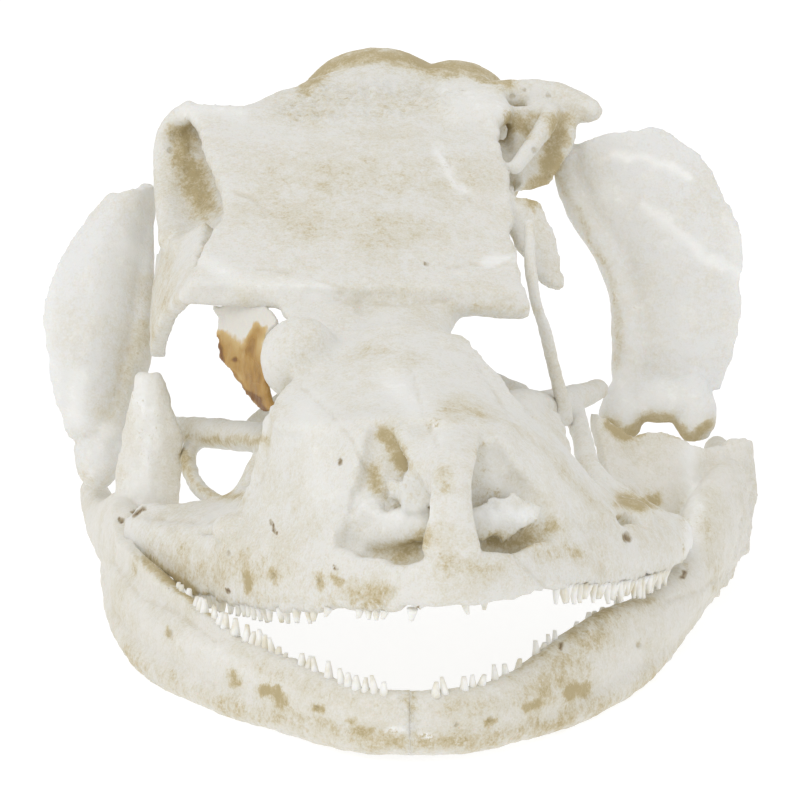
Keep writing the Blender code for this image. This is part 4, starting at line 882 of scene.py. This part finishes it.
def bone_material(name, pale, warmth=1.0, contrast=1.0, chalkiness=1.0, translucent=0.12):
    made, tree, surface = empty_material(
        name, Subsurface_Weight=translucent, Subsurface_Radius=(1.0, 0.75, 0.5), Subsurface_Scale=0.0006,
        Specular_IOR_Level=0.35,
    )
    place = millimetres(tree)
    hollow, tan, brown, chalk, line, pit, rough = stored(
        tree, "hollow", "tan", "brown", "chalk", "line", "pit", "rough",
    )
    cloud = node(tree, "ShaderNodeTexNoise", {}, place, Scale=0.55, Detail=4.0, Roughness=0.6)
    mottle = node(tree, "ShaderNodeTexNoise", {}, place, Scale=2.3, Detail=5.0, Roughness=0.65)
    speck = node(tree, "ShaderNodeTexNoise", {}, place, Scale=6.5, Detail=3.0, Roughness=0.7)
    grain = node(tree, "ShaderNodeTexNoise", {}, place, Scale=17.0, Detail=2.0, Roughness=0.7)
    edge = (tan + (mottle - 0.5) * 0.9 + (speck - 0.5) * 0.6).ramp(0.25, 0.95)
    # Painted shade: hollow turns the recesses tan to ochre. The tan marks, their crisp edges, cloud,
    # mottle, speck and grain are the bone's own staining and tone.
    stain_and_shade = (
        hollow.ramp(0.15, 0.8) * 0.45 * warmth
        + tan * 0.42
        + edge * 0.36
        + cloud.ramp(0.38, 0.68) * 0.24 * warmth
        + (mottle - 0.5) * 0.7 * contrast
        + (speck - 0.5) * (0.6 + rough * 0.6) * contrast
        + (grain - 0.5) * 0.8 * contrast
    )
    colour = node(tree, "ShaderNodeValToRGB", {"stops": [
        (0.0, pale), (0.34, WARM_IVORY), (0.64, TAN), (0.92, OCHRE),
    ]}, stain_and_shade)
    # Pale chalky patches from the marks and the mottle. The marks in the left nostril and on the left
    # quadrate's column are painted light on shaded bone.
    dust_and_light = chalk * (0.4 + mottle) + mottle.ramp(0.52, 0.70) * 0.30 * chalkiness
    dust_and_light = dust_and_light * (1 - stain_and_shade.ramp(0.3, 0.7))
    colour = blend(tree, dust_and_light.least(1.0), colour, CHALK)
    suture = (line + (speck - 0.5) * 0.08).ramp(0.09, 0.01) * mottle.ramp(0.38, 0.62)
    colour = blend(tree, suture * 0.3, colour, TAN)
    # Pits and marked holes go ochre, brown and near black: partly staining, partly painted shade for holes
    # that the mesh only dents.
    hole = (pit + (mottle - 0.5) * 2.2 + (speck - 0.5) * 0.8).ramp(1.15, 0.35)
    colour = blend(tree, hole * 0.5, colour, OCHRE)
    colour = blend(tree, (brown + (speck - 0.5) * 0.9).ramp(1.25, 0.5) * 0.8, colour, BROWN)
    colour = blend(tree, (brown + (speck - 0.5) * 0.3).ramp(0.6, 0.2) * 0.65, colour, RUST_AND_HOLE_SHADE)
    height = grain * 0.018 + speck * (0.03 + rough * 0.04) + mottle * 0.05 - suture * 0.03 - hole * 0.05
    finished(tree, surface, colour, 0.5 + mottle * 0.14 + hollow * 0.1, height)
    return made


skull_bone = bone_material("SkullBone", IVORY)

weathered_and_shaded(
    cranium, tan=TAN_MARKS, brown=BROWN_MARKS, chalk=CHALK_AND_LIGHT_MARKS, rough=ROUGH_MARKS, lines=LINES,
    pits=PITS,
)
cranium.data.materials.append(skull_bone)
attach(cranium, "root")
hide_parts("cranium")


# Teeth. Small pegs with blunt tips, one row along each jaw, grown fast to the inner side of the bone. Some
# have dropped out. Geometry Nodes set one peg after another along a line sunk in the bone's edge.
TOOTH_PITCH = 0.27
TOOTH_RADIUS = 0.14
DOWN = (np.pi, 0.0, 0.0)
UP = (0.0, 0.0, 0.0)


def tooth_tree():
    tree = bpy.data.node_groups.new("ToothRow", "GeometryNodeTree")
    face = tree.interface
    face.new_socket("Geometry", in_out="INPUT", socket_type="NodeSocketGeometry")
    for name in ("Pitch", "Length", "Radius", "Missing"):
        face.new_socket(name, in_out="INPUT", socket_type="NodeSocketFloat")
    face.new_socket("Seed", in_out="INPUT", socket_type="NodeSocketInt")
    face.new_socket("Lean", in_out="INPUT", socket_type="NodeSocketVector")
    face.new_socket("Material", in_out="INPUT", socket_type="NodeSocketMaterial")
    face.new_socket("Geometry", in_out="OUTPUT", socket_type="NodeSocketGeometry")
    given = tree.nodes.new("NodeGroupInput").outputs

    def add(kind, settings=None, links=None, output=0):
        made = tree.nodes.new(kind)
        for name, value in (settings or {}).items():
            setattr(made, name, value)
        for name, value in (links or {}).items():
            socket = made.inputs[name]
            if isinstance(value, bpy.types.NodeSocket):
                tree.links.new(value, socket)
            else:
                socket.default_value = value
        return made.outputs[output]

    curve = add("GeometryNodeMeshToCurve", links={"Mesh": given["Geometry"]})
    points = add(
        "GeometryNodeResampleCurve", {"mode": "LENGTH"}, {"Curve": curve, "Length": given["Pitch"]},
    )
    gone = add(
        "FunctionNodeRandomValue", {"data_type": "BOOLEAN"},
        {"Probability": given["Missing"], "Seed": given["Seed"]}, 3,
    )
    sockets = add("GeometryNodeCurveToPoints", {"mode": "EVALUATED"}, {"Curve": points})
    left = add("GeometryNodeDeleteGeometry", {"domain": "POINT"}, {"Geometry": sockets, "Selection": gone})
    tip = add("ShaderNodeMath", {"operation": "MULTIPLY"}, {0: given["Radius"], 1: 0.62})
    peg = add("GeometryNodeMeshCone", None, {
        "Vertices": 10, "Side Segments": 5, "Fill Segments": 2, "Radius Top": tip,
        "Radius Bottom": given["Radius"], "Depth": given["Length"],
    })
    place = add("GeometryNodeInputPosition")
    rise = add("ShaderNodeSeparateXYZ", None, {"Vector": place}, 2)
    share = add("ShaderNodeMath", {"operation": "DIVIDE"}, {0: rise, 1: given["Length"]})
    bulge = add("ShaderNodeMath", {"operation": "MULTIPLY_ADD"}, {0: share, 1: share, 2: 0.0})
    narrow = add("ShaderNodeMath", {"operation": "MULTIPLY_ADD"}, {0: bulge, 1: -0.3, 2: 1.0})
    scale = add("ShaderNodeCombineXYZ", None, {"X": narrow, "Y": narrow, "Z": 1.0})
    curved = add("ShaderNodeVectorMath", {"operation": "MULTIPLY"}, {0: place, 1: scale})
    sweep = add("ShaderNodeMath", {"operation": "MULTIPLY"}, {0: bulge, 1: given["Radius"]})
    hook = add("ShaderNodeCombineXYZ", None, {"X": 0.0, "Y": sweep, "Z": 0.0})
    bent = add("ShaderNodeVectorMath", {"operation": "ADD"}, {0: curved, 1: hook})
    peg = add("GeometryNodeSetPosition", None, {"Geometry": peg, "Position": bent})
    spread = add("FunctionNodeRandomValue", {"data_type": "FLOAT_VECTOR"}, {
        "Min": (-0.12, -0.12, -0.5), "Max": (0.12, 0.12, 0.5), "Seed": given["Seed"],
    })
    lean = add("ShaderNodeVectorMath", {"operation": "ADD"}, {0: given["Lean"], 1: spread})
    size = add("FunctionNodeRandomValue", {"data_type": "FLOAT_VECTOR"}, {
        "Min": (0.8, 0.8, 0.7), "Max": (1.1, 1.1, 1.05), "Seed": given["Seed"],
    })
    row = add("GeometryNodeInstanceOnPoints", None, {
        "Points": left, "Instance": peg, "Rotation": lean, "Scale": size,
    })
    row = add("GeometryNodeRealizeInstances", None, {"Geometry": row})
    row = add("GeometryNodeSetShadeSmooth", None, {"Geometry": row})
    row = add("GeometryNodeSetMaterial", None, {"Geometry": row, "Material": given["Material"]})
    tree.links.new(row, tree.nodes.new("NodeGroupOutput").inputs[0])
    return tree


TOOTH_ROW = tooth_tree()


def tooth_row(name, stations, lean, length, missing, seed, material):
    """A row along a smooth line through the stations, as a plain mesh. lean turns the pegs from upright."""
    line = smooth_line(stations, 12)
    row = object_of(name, line, [], [(k, k + 1) for k in range(len(line) - 1)])
    grow = row.modifiers.new("teeth", "NODES")
    grow.node_group = TOOTH_ROW
    sizes = {
        "Pitch": TOOTH_PITCH * MM, "Length": length * MM, "Radius": TOOTH_RADIUS * MM,
        "Missing": missing, "Seed": seed, "Lean": lean, "Material": material,
    }
    for socket in TOOTH_ROW.interface.items_tree:
        if socket.in_out == "INPUT" and socket.name in sizes:
            grow[socket.identifier] = sizes[socket.name]
    made = bpy.data.objects.new(name, evaluated(row))
    bpy.context.scene.collection.objects.link(made)
    return made


def tooth_material():
    made, tree, surface = empty_material(
        "Tooth", Roughness=0.3, Subsurface_Weight=0.2, Subsurface_Radius=(1.0, 0.8, 0.5),
        Subsurface_Scale=0.0003,
    )
    mottle = node(tree, "ShaderNodeTexNoise", {}, millimetres(tree), Scale=2.2, Detail=3.0)
    colour = blend(tree, mottle.ramp(0.4, 0.7), (0.90, 0.89, 0.85), (0.74, 0.69, 0.56))
    finished(tree, surface, colour, None, None)
    return made


tooth = tooth_material()
for teeth in (
    tooth_row("upper_teeth_right", [
        (-2.2, 3.5, 3.3), (-2.6, 4.1, 3.15), (-3.9, 6.2, 2.6), (-5.1, 8.7, 2.2), (-5.7, 9.9, 2.2),
    ], DOWN, 0.42, 0.35, 3, tooth),
    tooth_row("upper_front_teeth", [
        (-2.0, 3.2, 3.4), (-1.5, 2.7, 3.55), (-0.4, 1.8, 3.75), (0.6, 1.3, 3.95), (1.9, 1.5, 4.1),
        (3.0, 2.3, 4.0),
    ], DOWN, 0.3, 0.7, 14, tooth),
    tooth_row("upper_teeth_left", [
        (4.0, 3.7, 3.84), (4.35, 4.2, 3.74), (5.15, 5.6, 3.34), (6.25, 8.1, 2.74), (7.05, 10.3, 2.39),
    ], DOWN, 0.52, 0.02, 8, tooth),
):
    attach(teeth, "root")


# Quadrates. Two thin shells of bone, hollow at the back like half an ear, each on a column that ends in the
# joint for the lower jaw. They let light through, so they look bluish grey, with chalky ridges.
quadrate_right = fused("skull_quadrate_right", [
    sheet([
        [
            (-6.95, 21.9, 9.95), (-7.0, 21.2, 8.9), (-7.05, 20.7, 7.7), (-7.1, 20.3, 6.6),
            (-7.2, 20.1, 5.5), (-7.7, 19.9, 4.2),
        ],
        [
            (-7.2, 21.2, 10.1), (-7.6, 20.2, 8.8), (-7.9, 19.5, 7.4), (-8.1, 19.2, 6.1),
            (-8.2, 19.2, 4.8), (-8.2, 19.4, 3.7),
        ],
        [
            (-7.7, 21.1, 10.0), (-8.4, 20.1, 8.9), (-8.9, 19.5, 7.4), (-9.1, 19.2, 6.1),
            (-8.9, 19.2, 4.8), (-8.6, 19.5, 3.6),
        ],
        [
            (-8.0, 21.4, 9.75), (-8.85, 20.7, 8.85), (-9.7, 20.2, 7.5), (-9.8, 19.9, 6.2),
            (-9.6, 19.7, 4.9), (-9.1, 19.8, 3.4),
        ],
    ], SHELL),
    rod([
        (-7.0, 21.9, 9.9, 0.28), (-7.05, 21.2, 8.8, 0.3), (-7.12, 20.6, 7.6, 0.38),
        (-7.18, 20.2, 6.5, 0.44),
        (-7.35, 20.0, 5.5, 0.48), (-7.75, 19.9, 4.5, 0.5), (-8.1, 19.8, 3.6, 0.55),
    ], up=(0, 1, 0)),
    ball((-8.35, 19.8, 2.82), (0.66, 0.62, 0.97)),
    ball((-7.75, 19.9, 3.0), (0.45, 0.5, 0.6)),
], THIN_GRAIN)
quadrate_left = fused("skull_quadrate_left", [
    sheet([
        [
            (4.8, 23.4, 10.8), (4.75, 23.2, 10.0), (5.2, 22.8, 9.0), (5.85, 22.4, 8.0),
            (6.2, 22.1, 6.9), (6.3, 21.6, 5.7),
        ],
        [
            (5.7, 22.9, 11.25), (5.9, 22.5, 10.2), (6.4, 22.0, 9.2), (6.8, 21.6, 8.1), (7.0, 21.3, 6.9),
            (7.0, 21.1, 5.6),
        ],
        [
            (6.6, 22.8, 11.4), (7.3, 22.2, 10.4), (7.9, 21.7, 9.2), (8.2, 21.3, 8.1), (8.3, 21.0, 6.9),
            (8.1, 20.9, 5.4),
        ],
        [
            (7.5, 22.9, 11.25), (8.6, 22.6, 10.4), (9.2, 22.2, 9.3), (9.45, 21.9, 8.1),
            (9.5, 21.6, 6.8), (9.2, 21.3, 5.2),
        ],
    ], SHELL),
    rod([
        (4.75, 23.3, 10.7, 0.3), (4.65, 23.0, 10.0, 0.35), (5.1, 22.6, 9.0, 0.4), (5.8, 22.2, 8.0, 0.43),
        (6.25, 21.8, 6.9, 0.46), (6.35, 21.3, 5.7, 0.48), (6.35, 21.0, 4.8, 0.5),
    ], up=(0, 1, 0)),
    rod([(6.3, 20.9, 4.4, 0.6, 0.62), (7.15, 20.75, 4.2, 0.6, 0.7), (8.0, 20.8, 4.3, 0.6, 0.62)]),
    rod([(6.5, 20.9, 4.7, 0.5), (6.2, 20.75, 4.0, 0.62), (6.1, 20.75, 3.4, 0.6)], up=(0, 1, 0)),
    rod([(8.0, 20.8, 4.6, 0.5), (8.15, 20.75, 4.0, 0.6), (8.2, 20.75, 3.4, 0.56)], up=(0, 1, 0)),
    sheet([
        [(6.4, 21.3, 5.8), (7.4, 21.0, 5.7), (8.4, 21.0, 5.5), (9.2, 21.3, 5.3)],
        [(6.4, 21.2, 4.8), (7.3, 21.0, 4.8), (8.2, 21.0, 4.6), (8.8, 21.2, 4.4)],
    ], SHELL),
], THIN_GRAIN)

RIDGES_AND_LIGHT = [
    ("top ridge", [(615, 157), (640, 157), (665, 165), (690, 178)], 0.13, 1.0),
    ("white patch", [(608, 195), (624, 199)], 0.30, 0.6),
    ("slanting ridge", [(645, 205), (675, 230), (700, 255), (740, 275)], 0.15, 1.0),
    ("outer edge", [(730, 222), (741, 271), (739, 339)], 0.25, 0.4),
    ("right shell, upper patch", [(123, 245), (135, 252)], 0.30, 0.6),
    ("right shell, outer edge", [(51, 264), (44, 339), (63, 423)], 0.25, 0.4),
    ("right shell, lower patch", [(80, 377), (74, 419)], 0.25, 0.7),
    # Painted light: this mark lifts the column, which lies in shade, to a pale tone.
    ("column", [(574, 203), (605, 264), (631, 309), (631, 355)], 0.45, 0.35),
    ("left joint", [(620, 377), (627, 408), (654, 396), (688, 400), (699, 423)], 0.35, 0.7),
    ("right joint", [(104, 434), (93, 468)], 0.35, 0.6),
]
thin_bone = bone_material(
    "ThinBone", (0.775, 0.778, 0.768), warmth=0.5, contrast=0.6, chalkiness=1.3, translucent=0.2,
)
for quadrate, cad_node in ((quadrate_right, "quadrate_right"), (quadrate_left, "quadrate_left")):
    weathered_and_shaded(quadrate, tan=TAN_MARKS, brown=BROWN_MARKS, chalk=RIDGES_AND_LIGHT, swell=0.05, reach=1.6)
    quadrate.data.materials.append(thin_bone)
    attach(quadrate, "root")
    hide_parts(cad_node)


# Epipterygoid. A thin rod of bone between the palate bar and the roof, still in place on the animal's left.
epipterygoid_left = fused("skull_epipterygoid_left", [
    rod([
        (3.5, 16.9, 10.15, 0.15), (3.5, 16.1, 9.3, 0.16), (3.65, 15.6, 8.3, 0.17), (3.95, 15.7, 7.3, 0.17),
        (4.2, 15.9, 6.2, 0.18), (4.45, 16.1, 5.2, 0.2), (4.5, 16.2, 4.8, 0.2),
    ], up=(0, 1, 0)),
], FINE_GRAIN)

weathered_and_shaded(epipterygoid_left, tan=TAN_MARKS, swell=0.02)
epipterygoid_left.data.materials.append(skull_bone)
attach(epipterygoid_left, "root")
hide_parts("epipterygoid_left")


# Dried tissue. A scrap that hangs behind the eye opening on the animal's right: a pale skin above, and
# below it amber muscle with a dark torn edge.
dried_tissue = fused("skull_dried_tissue", [
    sheet([
        [(-4.95, 13.4, 8.75), (-4.1, 13.0, 8.8), (-3.4, 12.6, 8.8)],
        [(-4.9, 13.3, 8.0), (-4.15, 12.9, 8.1), (-3.6, 12.2, 8.2)],
        [(-4.65, 13.1, 7.3), (-4.1, 12.6, 7.4), (-3.5, 11.9, 7.4)],
        [(-4.2, 12.6, 6.8), (-3.85, 12.2, 6.7), (-3.4, 11.6, 6.8)],
        [(-3.75, 12.0, 6.35), (-3.6, 11.8, 6.3), (-3.35, 11.5, 6.4)],
    ], 0.2, 0.3),
], FINE_GRAIN)

AMBER_MARKS = [
    ("muscle", [(220, 345), (231, 362), (245, 372), (258, 394), (267, 411)], 0.44, 1.0),
    ("its upper end", [(248, 351), (258, 332)], 0.26, 1.0),
    ("its inner part", [(252, 349), (259, 373), (267, 394)], 0.34, 1.0),
]
TORN_EDGE = [
    ("outer edge", [(216, 336), (224, 366), (237, 383), (254, 396), (265, 413)], 0.10),
    ("spot", [(236, 361), (236, 361)], 0.09),
]


def tissue_material():
    made, tree, surface = empty_material(
        "DriedTissue", Subsurface_Weight=0.1, Subsurface_Radius=(1.0, 0.5, 0.2), Subsurface_Scale=0.0005,
    )
    place = millimetres(tree)
    fibre = node(tree, "ShaderNodeMapping", {}, place, Rotation=(0.0, 0.6, 0.0), Scale=(3.0, 1.0, 0.8))
    amber, torn = stored(tree, "tan", "brown")
    mottle = node(tree, "ShaderNodeTexNoise", {}, place, Scale=2.4, Detail=4.0)
    strand = node(tree, "ShaderNodeTexNoise", {}, fibre, Scale=3.0, Detail=4.0, Roughness=0.6)
    colour = node(tree, "ShaderNodeValToRGB", {"stops": [
        (0.22, (0.74, 0.72, 0.66)), (0.36, (0.60, 0.44, 0.20)), (0.7, (0.43, 0.25, 0.065)),
        (1.0, (0.20, 0.09, 0.02)),
    ]}, amber * (0.45 + mottle * 0.4) + (strand - 0.5) * 0.35 + torn.ramp(1.3, 0.3) * 0.35)
    finished(tree, surface, colour, 0.5 - amber * 0.2, strand * 0.06)
    return made


weathered_and_shaded(dried_tissue, tan=AMBER_MARKS, brown=TORN_EDGE, swell=0.04)
dried_tissue.data.materials.append(tissue_material())
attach(dried_tissue, "root")
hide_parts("dried_tissue")


# Lower jaw. Two halves that meet at a seam in front. Each is a thick bar with a flat lower edge, a blade
# that rises behind the teeth, and a cup at the rear for the quadrate.
JAW_SEAM_X = 0.25
JAW_GAP = 0.006
jaw_right = fused("skull_jaw_right", [
    rod([
        (0.9, 1.1, 1.1, 0.5, 0.72), (0.0, 1.15, 1.1, 0.5, 0.72), (-1.1, 1.6, 1.05, 0.5, 0.75),
        (-2.2, 2.7, 1.0, 0.55, 0.88), (-3.4, 4.3, 0.95, 0.6, 1.0), (-4.75, 6.3, 0.9, 0.65, 1.0),
        (-6.0, 8.9, 0.85, 0.7, 0.97), (-6.9, 11.8, 0.9, 0.7, 1.02), (-7.15, 13.6, 1.0, 0.68, 1.12),
        (-7.4, 15.2, 1.3, 0.65, 1.42),
        (-7.7, 17.4, 1.15, 0.6, 1.28), (-8.1, 19.3, 0.95, 0.55, 0.78), (-8.4, 21.0, 1.1, 0.45, 0.5),
        (-8.6, 22.2, 1.2, 0.35, 0.35),
    ]),
    sheet([
        [
            (-3.3, 4.2, 1.8), (-4.7, 6.2, 2.05), (-6.0, 8.8, 2.3), (-7.1, 11.8, 2.4),
            (-7.6, 13.8, 2.35), (-7.65, 15.6, 2.7),
        ],
        [
            (-3.4, 4.3, 1.2), (-4.8, 6.3, 1.3), (-6.05, 8.9, 1.3), (-7.0, 11.8, 1.35),
            (-7.4, 13.8, 1.4), (-7.6, 15.6, 1.7),
        ],
    ], SHELL),
    rod([(-6.95, 12.0, 1.9, 0.3), (-6.4, 10.5, 1.95, 0.32), (-5.95, 9.3, 1.9, 0.3)]),
    sheet([
        [(-7.7, 16.8, 2.0), (-7.0, 15.8, 2.0), (-6.1, 16.4, 2.0)],
        [(-7.65, 17.0, 3.0), (-6.95, 16.2, 3.1), (-5.85, 16.5, 3.2)],
        [(-7.4, 17.3, 4.4), (-6.85, 16.7, 4.5), (-5.85, 16.8, 4.2)],
        [(-7.2, 17.3, 5.4), (-6.8, 16.9, 5.5), (-6.25, 16.9, 5.2)],
        [(-7.1, 17.3, 5.9), (-6.85, 17.1, 6.0), (-6.55, 17.1, 5.95)],
    ], SHELL),
    rod([
        (0.9, 1.0, 0.6, 0.42), (-0.2, 1.0, 0.58, 0.42), (-1.2, 1.5, 0.5, 0.42), (-2.45, 2.8, 0.42, 0.42),
        (-3.5, 4.0, 0.36, 0.42), (-4.95, 5.8, 0.3, 0.42), (-6.45, 8.4, 0.28, 0.42),
        (-7.3, 11.8, 0.28, 0.42),
        (-7.65, 14.8, 0.29, 0.42), (-7.8, 17.3, 0.34, 0.42), (-7.9, 18.6, 0.6, 0.3),
    ]),
    rod([(-7.6, 20.0, 0.9, 0.4), (-8.2, 20.4, 1.0, 0.5), (-8.4, 21.4, 1.3, 0.3)]),
], THIN_GRAIN)
jaw_left = fused("skull_jaw_left", [
    rod([
        (-0.4, 1.1, 1.1, 0.5, 0.72), (0.55, 1.1, 1.1, 0.5, 0.72), (1.9, 1.6, 1.05, 0.5, 0.75),
        (3.0, 2.7, 1.0, 0.55, 0.88), (4.2, 4.4, 1.1, 0.6, 1.17), (5.4, 6.7, 1.1, 0.65, 1.22),
        (6.5, 9.5, 0.9, 0.7, 1.02), (7.3, 12.3, 0.85, 0.7, 0.95), (7.75, 13.9, 0.95, 0.7, 1.05),
        (8.2, 15.6, 1.4, 0.72, 1.5),
        (8.75, 17.6, 1.55, 0.72, 1.62), (9.0, 19.6, 1.8, 0.65, 1.1), (9.0, 21.2, 2.0, 0.5, 0.7),
        (8.9, 22.8, 2.2, 0.35, 0.4),
    ]),
    sheet([
        [
            (5.25, 17.1, 4.8), (5.7, 17.4, 4.4), (6.25, 17.7, 3.75), (6.9, 18.0, 4.05),
            (7.7, 18.4, 3.5), (8.9, 19.2, 3.1),
        ],
        [
            (5.35, 16.3, 3.8), (5.8, 16.6, 3.6), (6.3, 16.9, 3.2), (6.9, 17.1, 3.2), (7.8, 17.4, 2.8),
            (8.9, 18.2, 2.2),
        ],
        [
            (5.9, 14.9, 2.7), (6.3, 15.2, 2.5), (6.8, 15.6, 2.2), (7.3, 16.0, 2.0), (7.9, 16.5, 1.8),
            (8.7, 17.2, 1.6),
        ],
    ], SHELL),
    sheet([
        [(8.2, 19.2, 3.1), (9.4, 20.2, 3.15), (9.6, 21.0, 2.9)],
        [(8.4, 18.6, 2.4), (9.85, 19.8, 2.1), (9.6, 20.8, 2.1)],
        [(8.6, 17.8, 1.4), (9.6, 18.8, 1.2), (9.4, 20.0, 1.4)],
        [(8.6, 17.0, 0.5), (9.5, 17.8, 0.5), (9.3, 19.0, 0.9)],
    ], 0.5),
    rod([
        (-0.4, 1.0, 0.6, 0.42), (0.6, 1.0, 0.58, 0.42), (1.9, 1.5, 0.52, 0.42), (3.4, 3.0, 0.4, 0.42),
        (4.9, 5.0, 0.32, 0.42), (6.3, 8.0, 0.28, 0.42), (7.35, 11.9, 0.28, 0.42), (8.1, 15.0, 0.29, 0.42),
        (8.7, 17.0, 0.36, 0.42),
    ]),
    rod([(8.8, 20.6, 2.0, 0.42), (7.6, 20.9, 2.2, 0.4), (6.4, 21.0, 2.25, 0.36)]),
], THIN_GRAIN)


def trimmed(jaw, side):
    """Cuts a half of the jaw at the seam, and flat where it rests."""
    shape = bmesh.new()
    shape.from_mesh(jaw.data)
    seam_x = (JAW_SEAM_X + side * JAW_GAP / 2 - CENTRE.x) * MM
    for at, outward in (((seam_x, 0, 0), (-side, 0, 0)), ((0, 0, 0), (0, 0, -1))):
        every = shape.verts[:] + shape.edges[:] + shape.faces[:]
        cut = bmesh.ops.bisect_plane(shape, geom=every, plane_co=at, plane_no=outward, clear_outer=True)
        rim = [e for e in cut["geom_cut"] if isinstance(e, bmesh.types.BMEdge)]
        bmesh.ops.triangle_fill(shape, edges=rim, use_beauty=True)
    bmesh.ops.recalc_face_normals(shape, faces=shape.faces[:])
    shape.to_mesh(jaw.data)
    shape.free()


jaw_bone = bone_material("JawBone", (0.755, 0.735, 0.68), warmth=1.1)
for jaw, side, cad_node in ((jaw_right, -1, "jaw_right"), (jaw_left, 1, "jaw_left")):
    weathered_and_shaded(
        jaw, tan=TAN_MARKS, brown=BROWN_MARKS, chalk=CHALK_AND_LIGHT_MARKS, rough=ROUGH_MARKS, lines=LINES, pits=PITS,
    )
    trimmed(jaw, side)
    jaw.data.materials.append(jaw_bone)
    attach(jaw, "root")
    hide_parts(cad_node)
for teeth in (
    tooth_row("lower_teeth_right", [
        (-3.0, 3.8, 1.65), (-3.3, 4.3, 1.8), (-4.0, 5.2, 1.9), (-4.65, 6.3, 1.95), (-5.3, 7.5, 2.0),
        (-5.85, 8.9, 1.98),
    ], UP, 0.44, 0.15, 5, tooth),
    tooth_row("lower_front_teeth_right", [
        (-0.4, 1.1, 1.66), (-1.2, 1.6, 1.66), (-2.3, 2.9, 1.74), (-2.8, 3.6, 1.75),
    ], UP, 0.48, 0.4, 21, tooth),
    tooth_row("lower_teeth_left", [
        (2.7, 2.5, 1.55), (3.4, 3.5, 1.8), (4.1, 4.5, 1.95), (5.1, 6.5, 1.95), (5.9, 8.6, 1.6),
    ], UP, 0.5, 0.5, 12, tooth),
    tooth_row("lower_front_teeth_left", [
        (0.9, 1.0, 1.66), (1.9, 1.6, 1.66), (2.6, 2.4, 1.68),
    ], UP, 0.48, 0.25, 9, tooth),
):
    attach(teeth, "root")


# Studio. A white table that glows a little, a white room that lights everything evenly, and one large soft
# lamp above and to the left of the camera, which looks down by fifteen degrees from 200 mm in front.
table_white = empty_material(
    "WhiteTable", Base_Color=(0.35, 0.35, 0.35, 1), Roughness=0.9, Emission_Color=(1, 1, 1, 1),
    Emission_Strength=0.75, Specular_IOR_Level=0.0,
)[0]
table = bpy.data.meshes.new("table")
TABLE_REACH = 3.0  # metres each way
corners = [(x * TABLE_REACH, y * TABLE_REACH, 0) for x, y in ((-1, -1), (1, -1), (1, 1), (-1, 1))]
table.from_pydata(corners, [], [(0, 1, 2, 3)])
floor = bpy.data.objects.new("table", table)
floor.data.materials.append(table_white)
bpy.context.scene.collection.objects.link(floor)

room = bpy.data.worlds.new("WhiteRoom")
room.use_nodes = True
room.node_tree.nodes["Background"].inputs["Color"].default_value = (1.0, 1.0, 1.0, 1)
room.node_tree.nodes["Background"].inputs["Strength"].default_value = 0.84
bpy.context.scene.world = room

light = bpy.data.lights.new("SoftLamp", "AREA")
light.shape = "DISK"
light.size = 0.5
light.energy = 1.6
lamp = bpy.data.objects.new("SoftLamp", light)
lamp.location = (-0.35, -0.45, 0.75)
lamp.rotation_euler = (-Vector(lamp.location)).to_track_quat("-Z", "Y").to_euler()
bpy.context.scene.collection.objects.link(lamp)

lens = bpy.data.cameras.new("Camera")
lens.sensor_width = 36.0
lens.lens = 341.1
lens.clip_start = 0.01
camera = bpy.data.objects.new("Camera", lens)
camera.location = Vector(EYE) * MM
camera.rotation_euler = Vector(VIEW_AHEAD).to_track_quat("-Z", "Y").to_euler()
bpy.context.scene.collection.objects.link(camera)
bpy.context.scene.camera = camera
bpy.context.scene.view_settings.view_transform = "Standard"
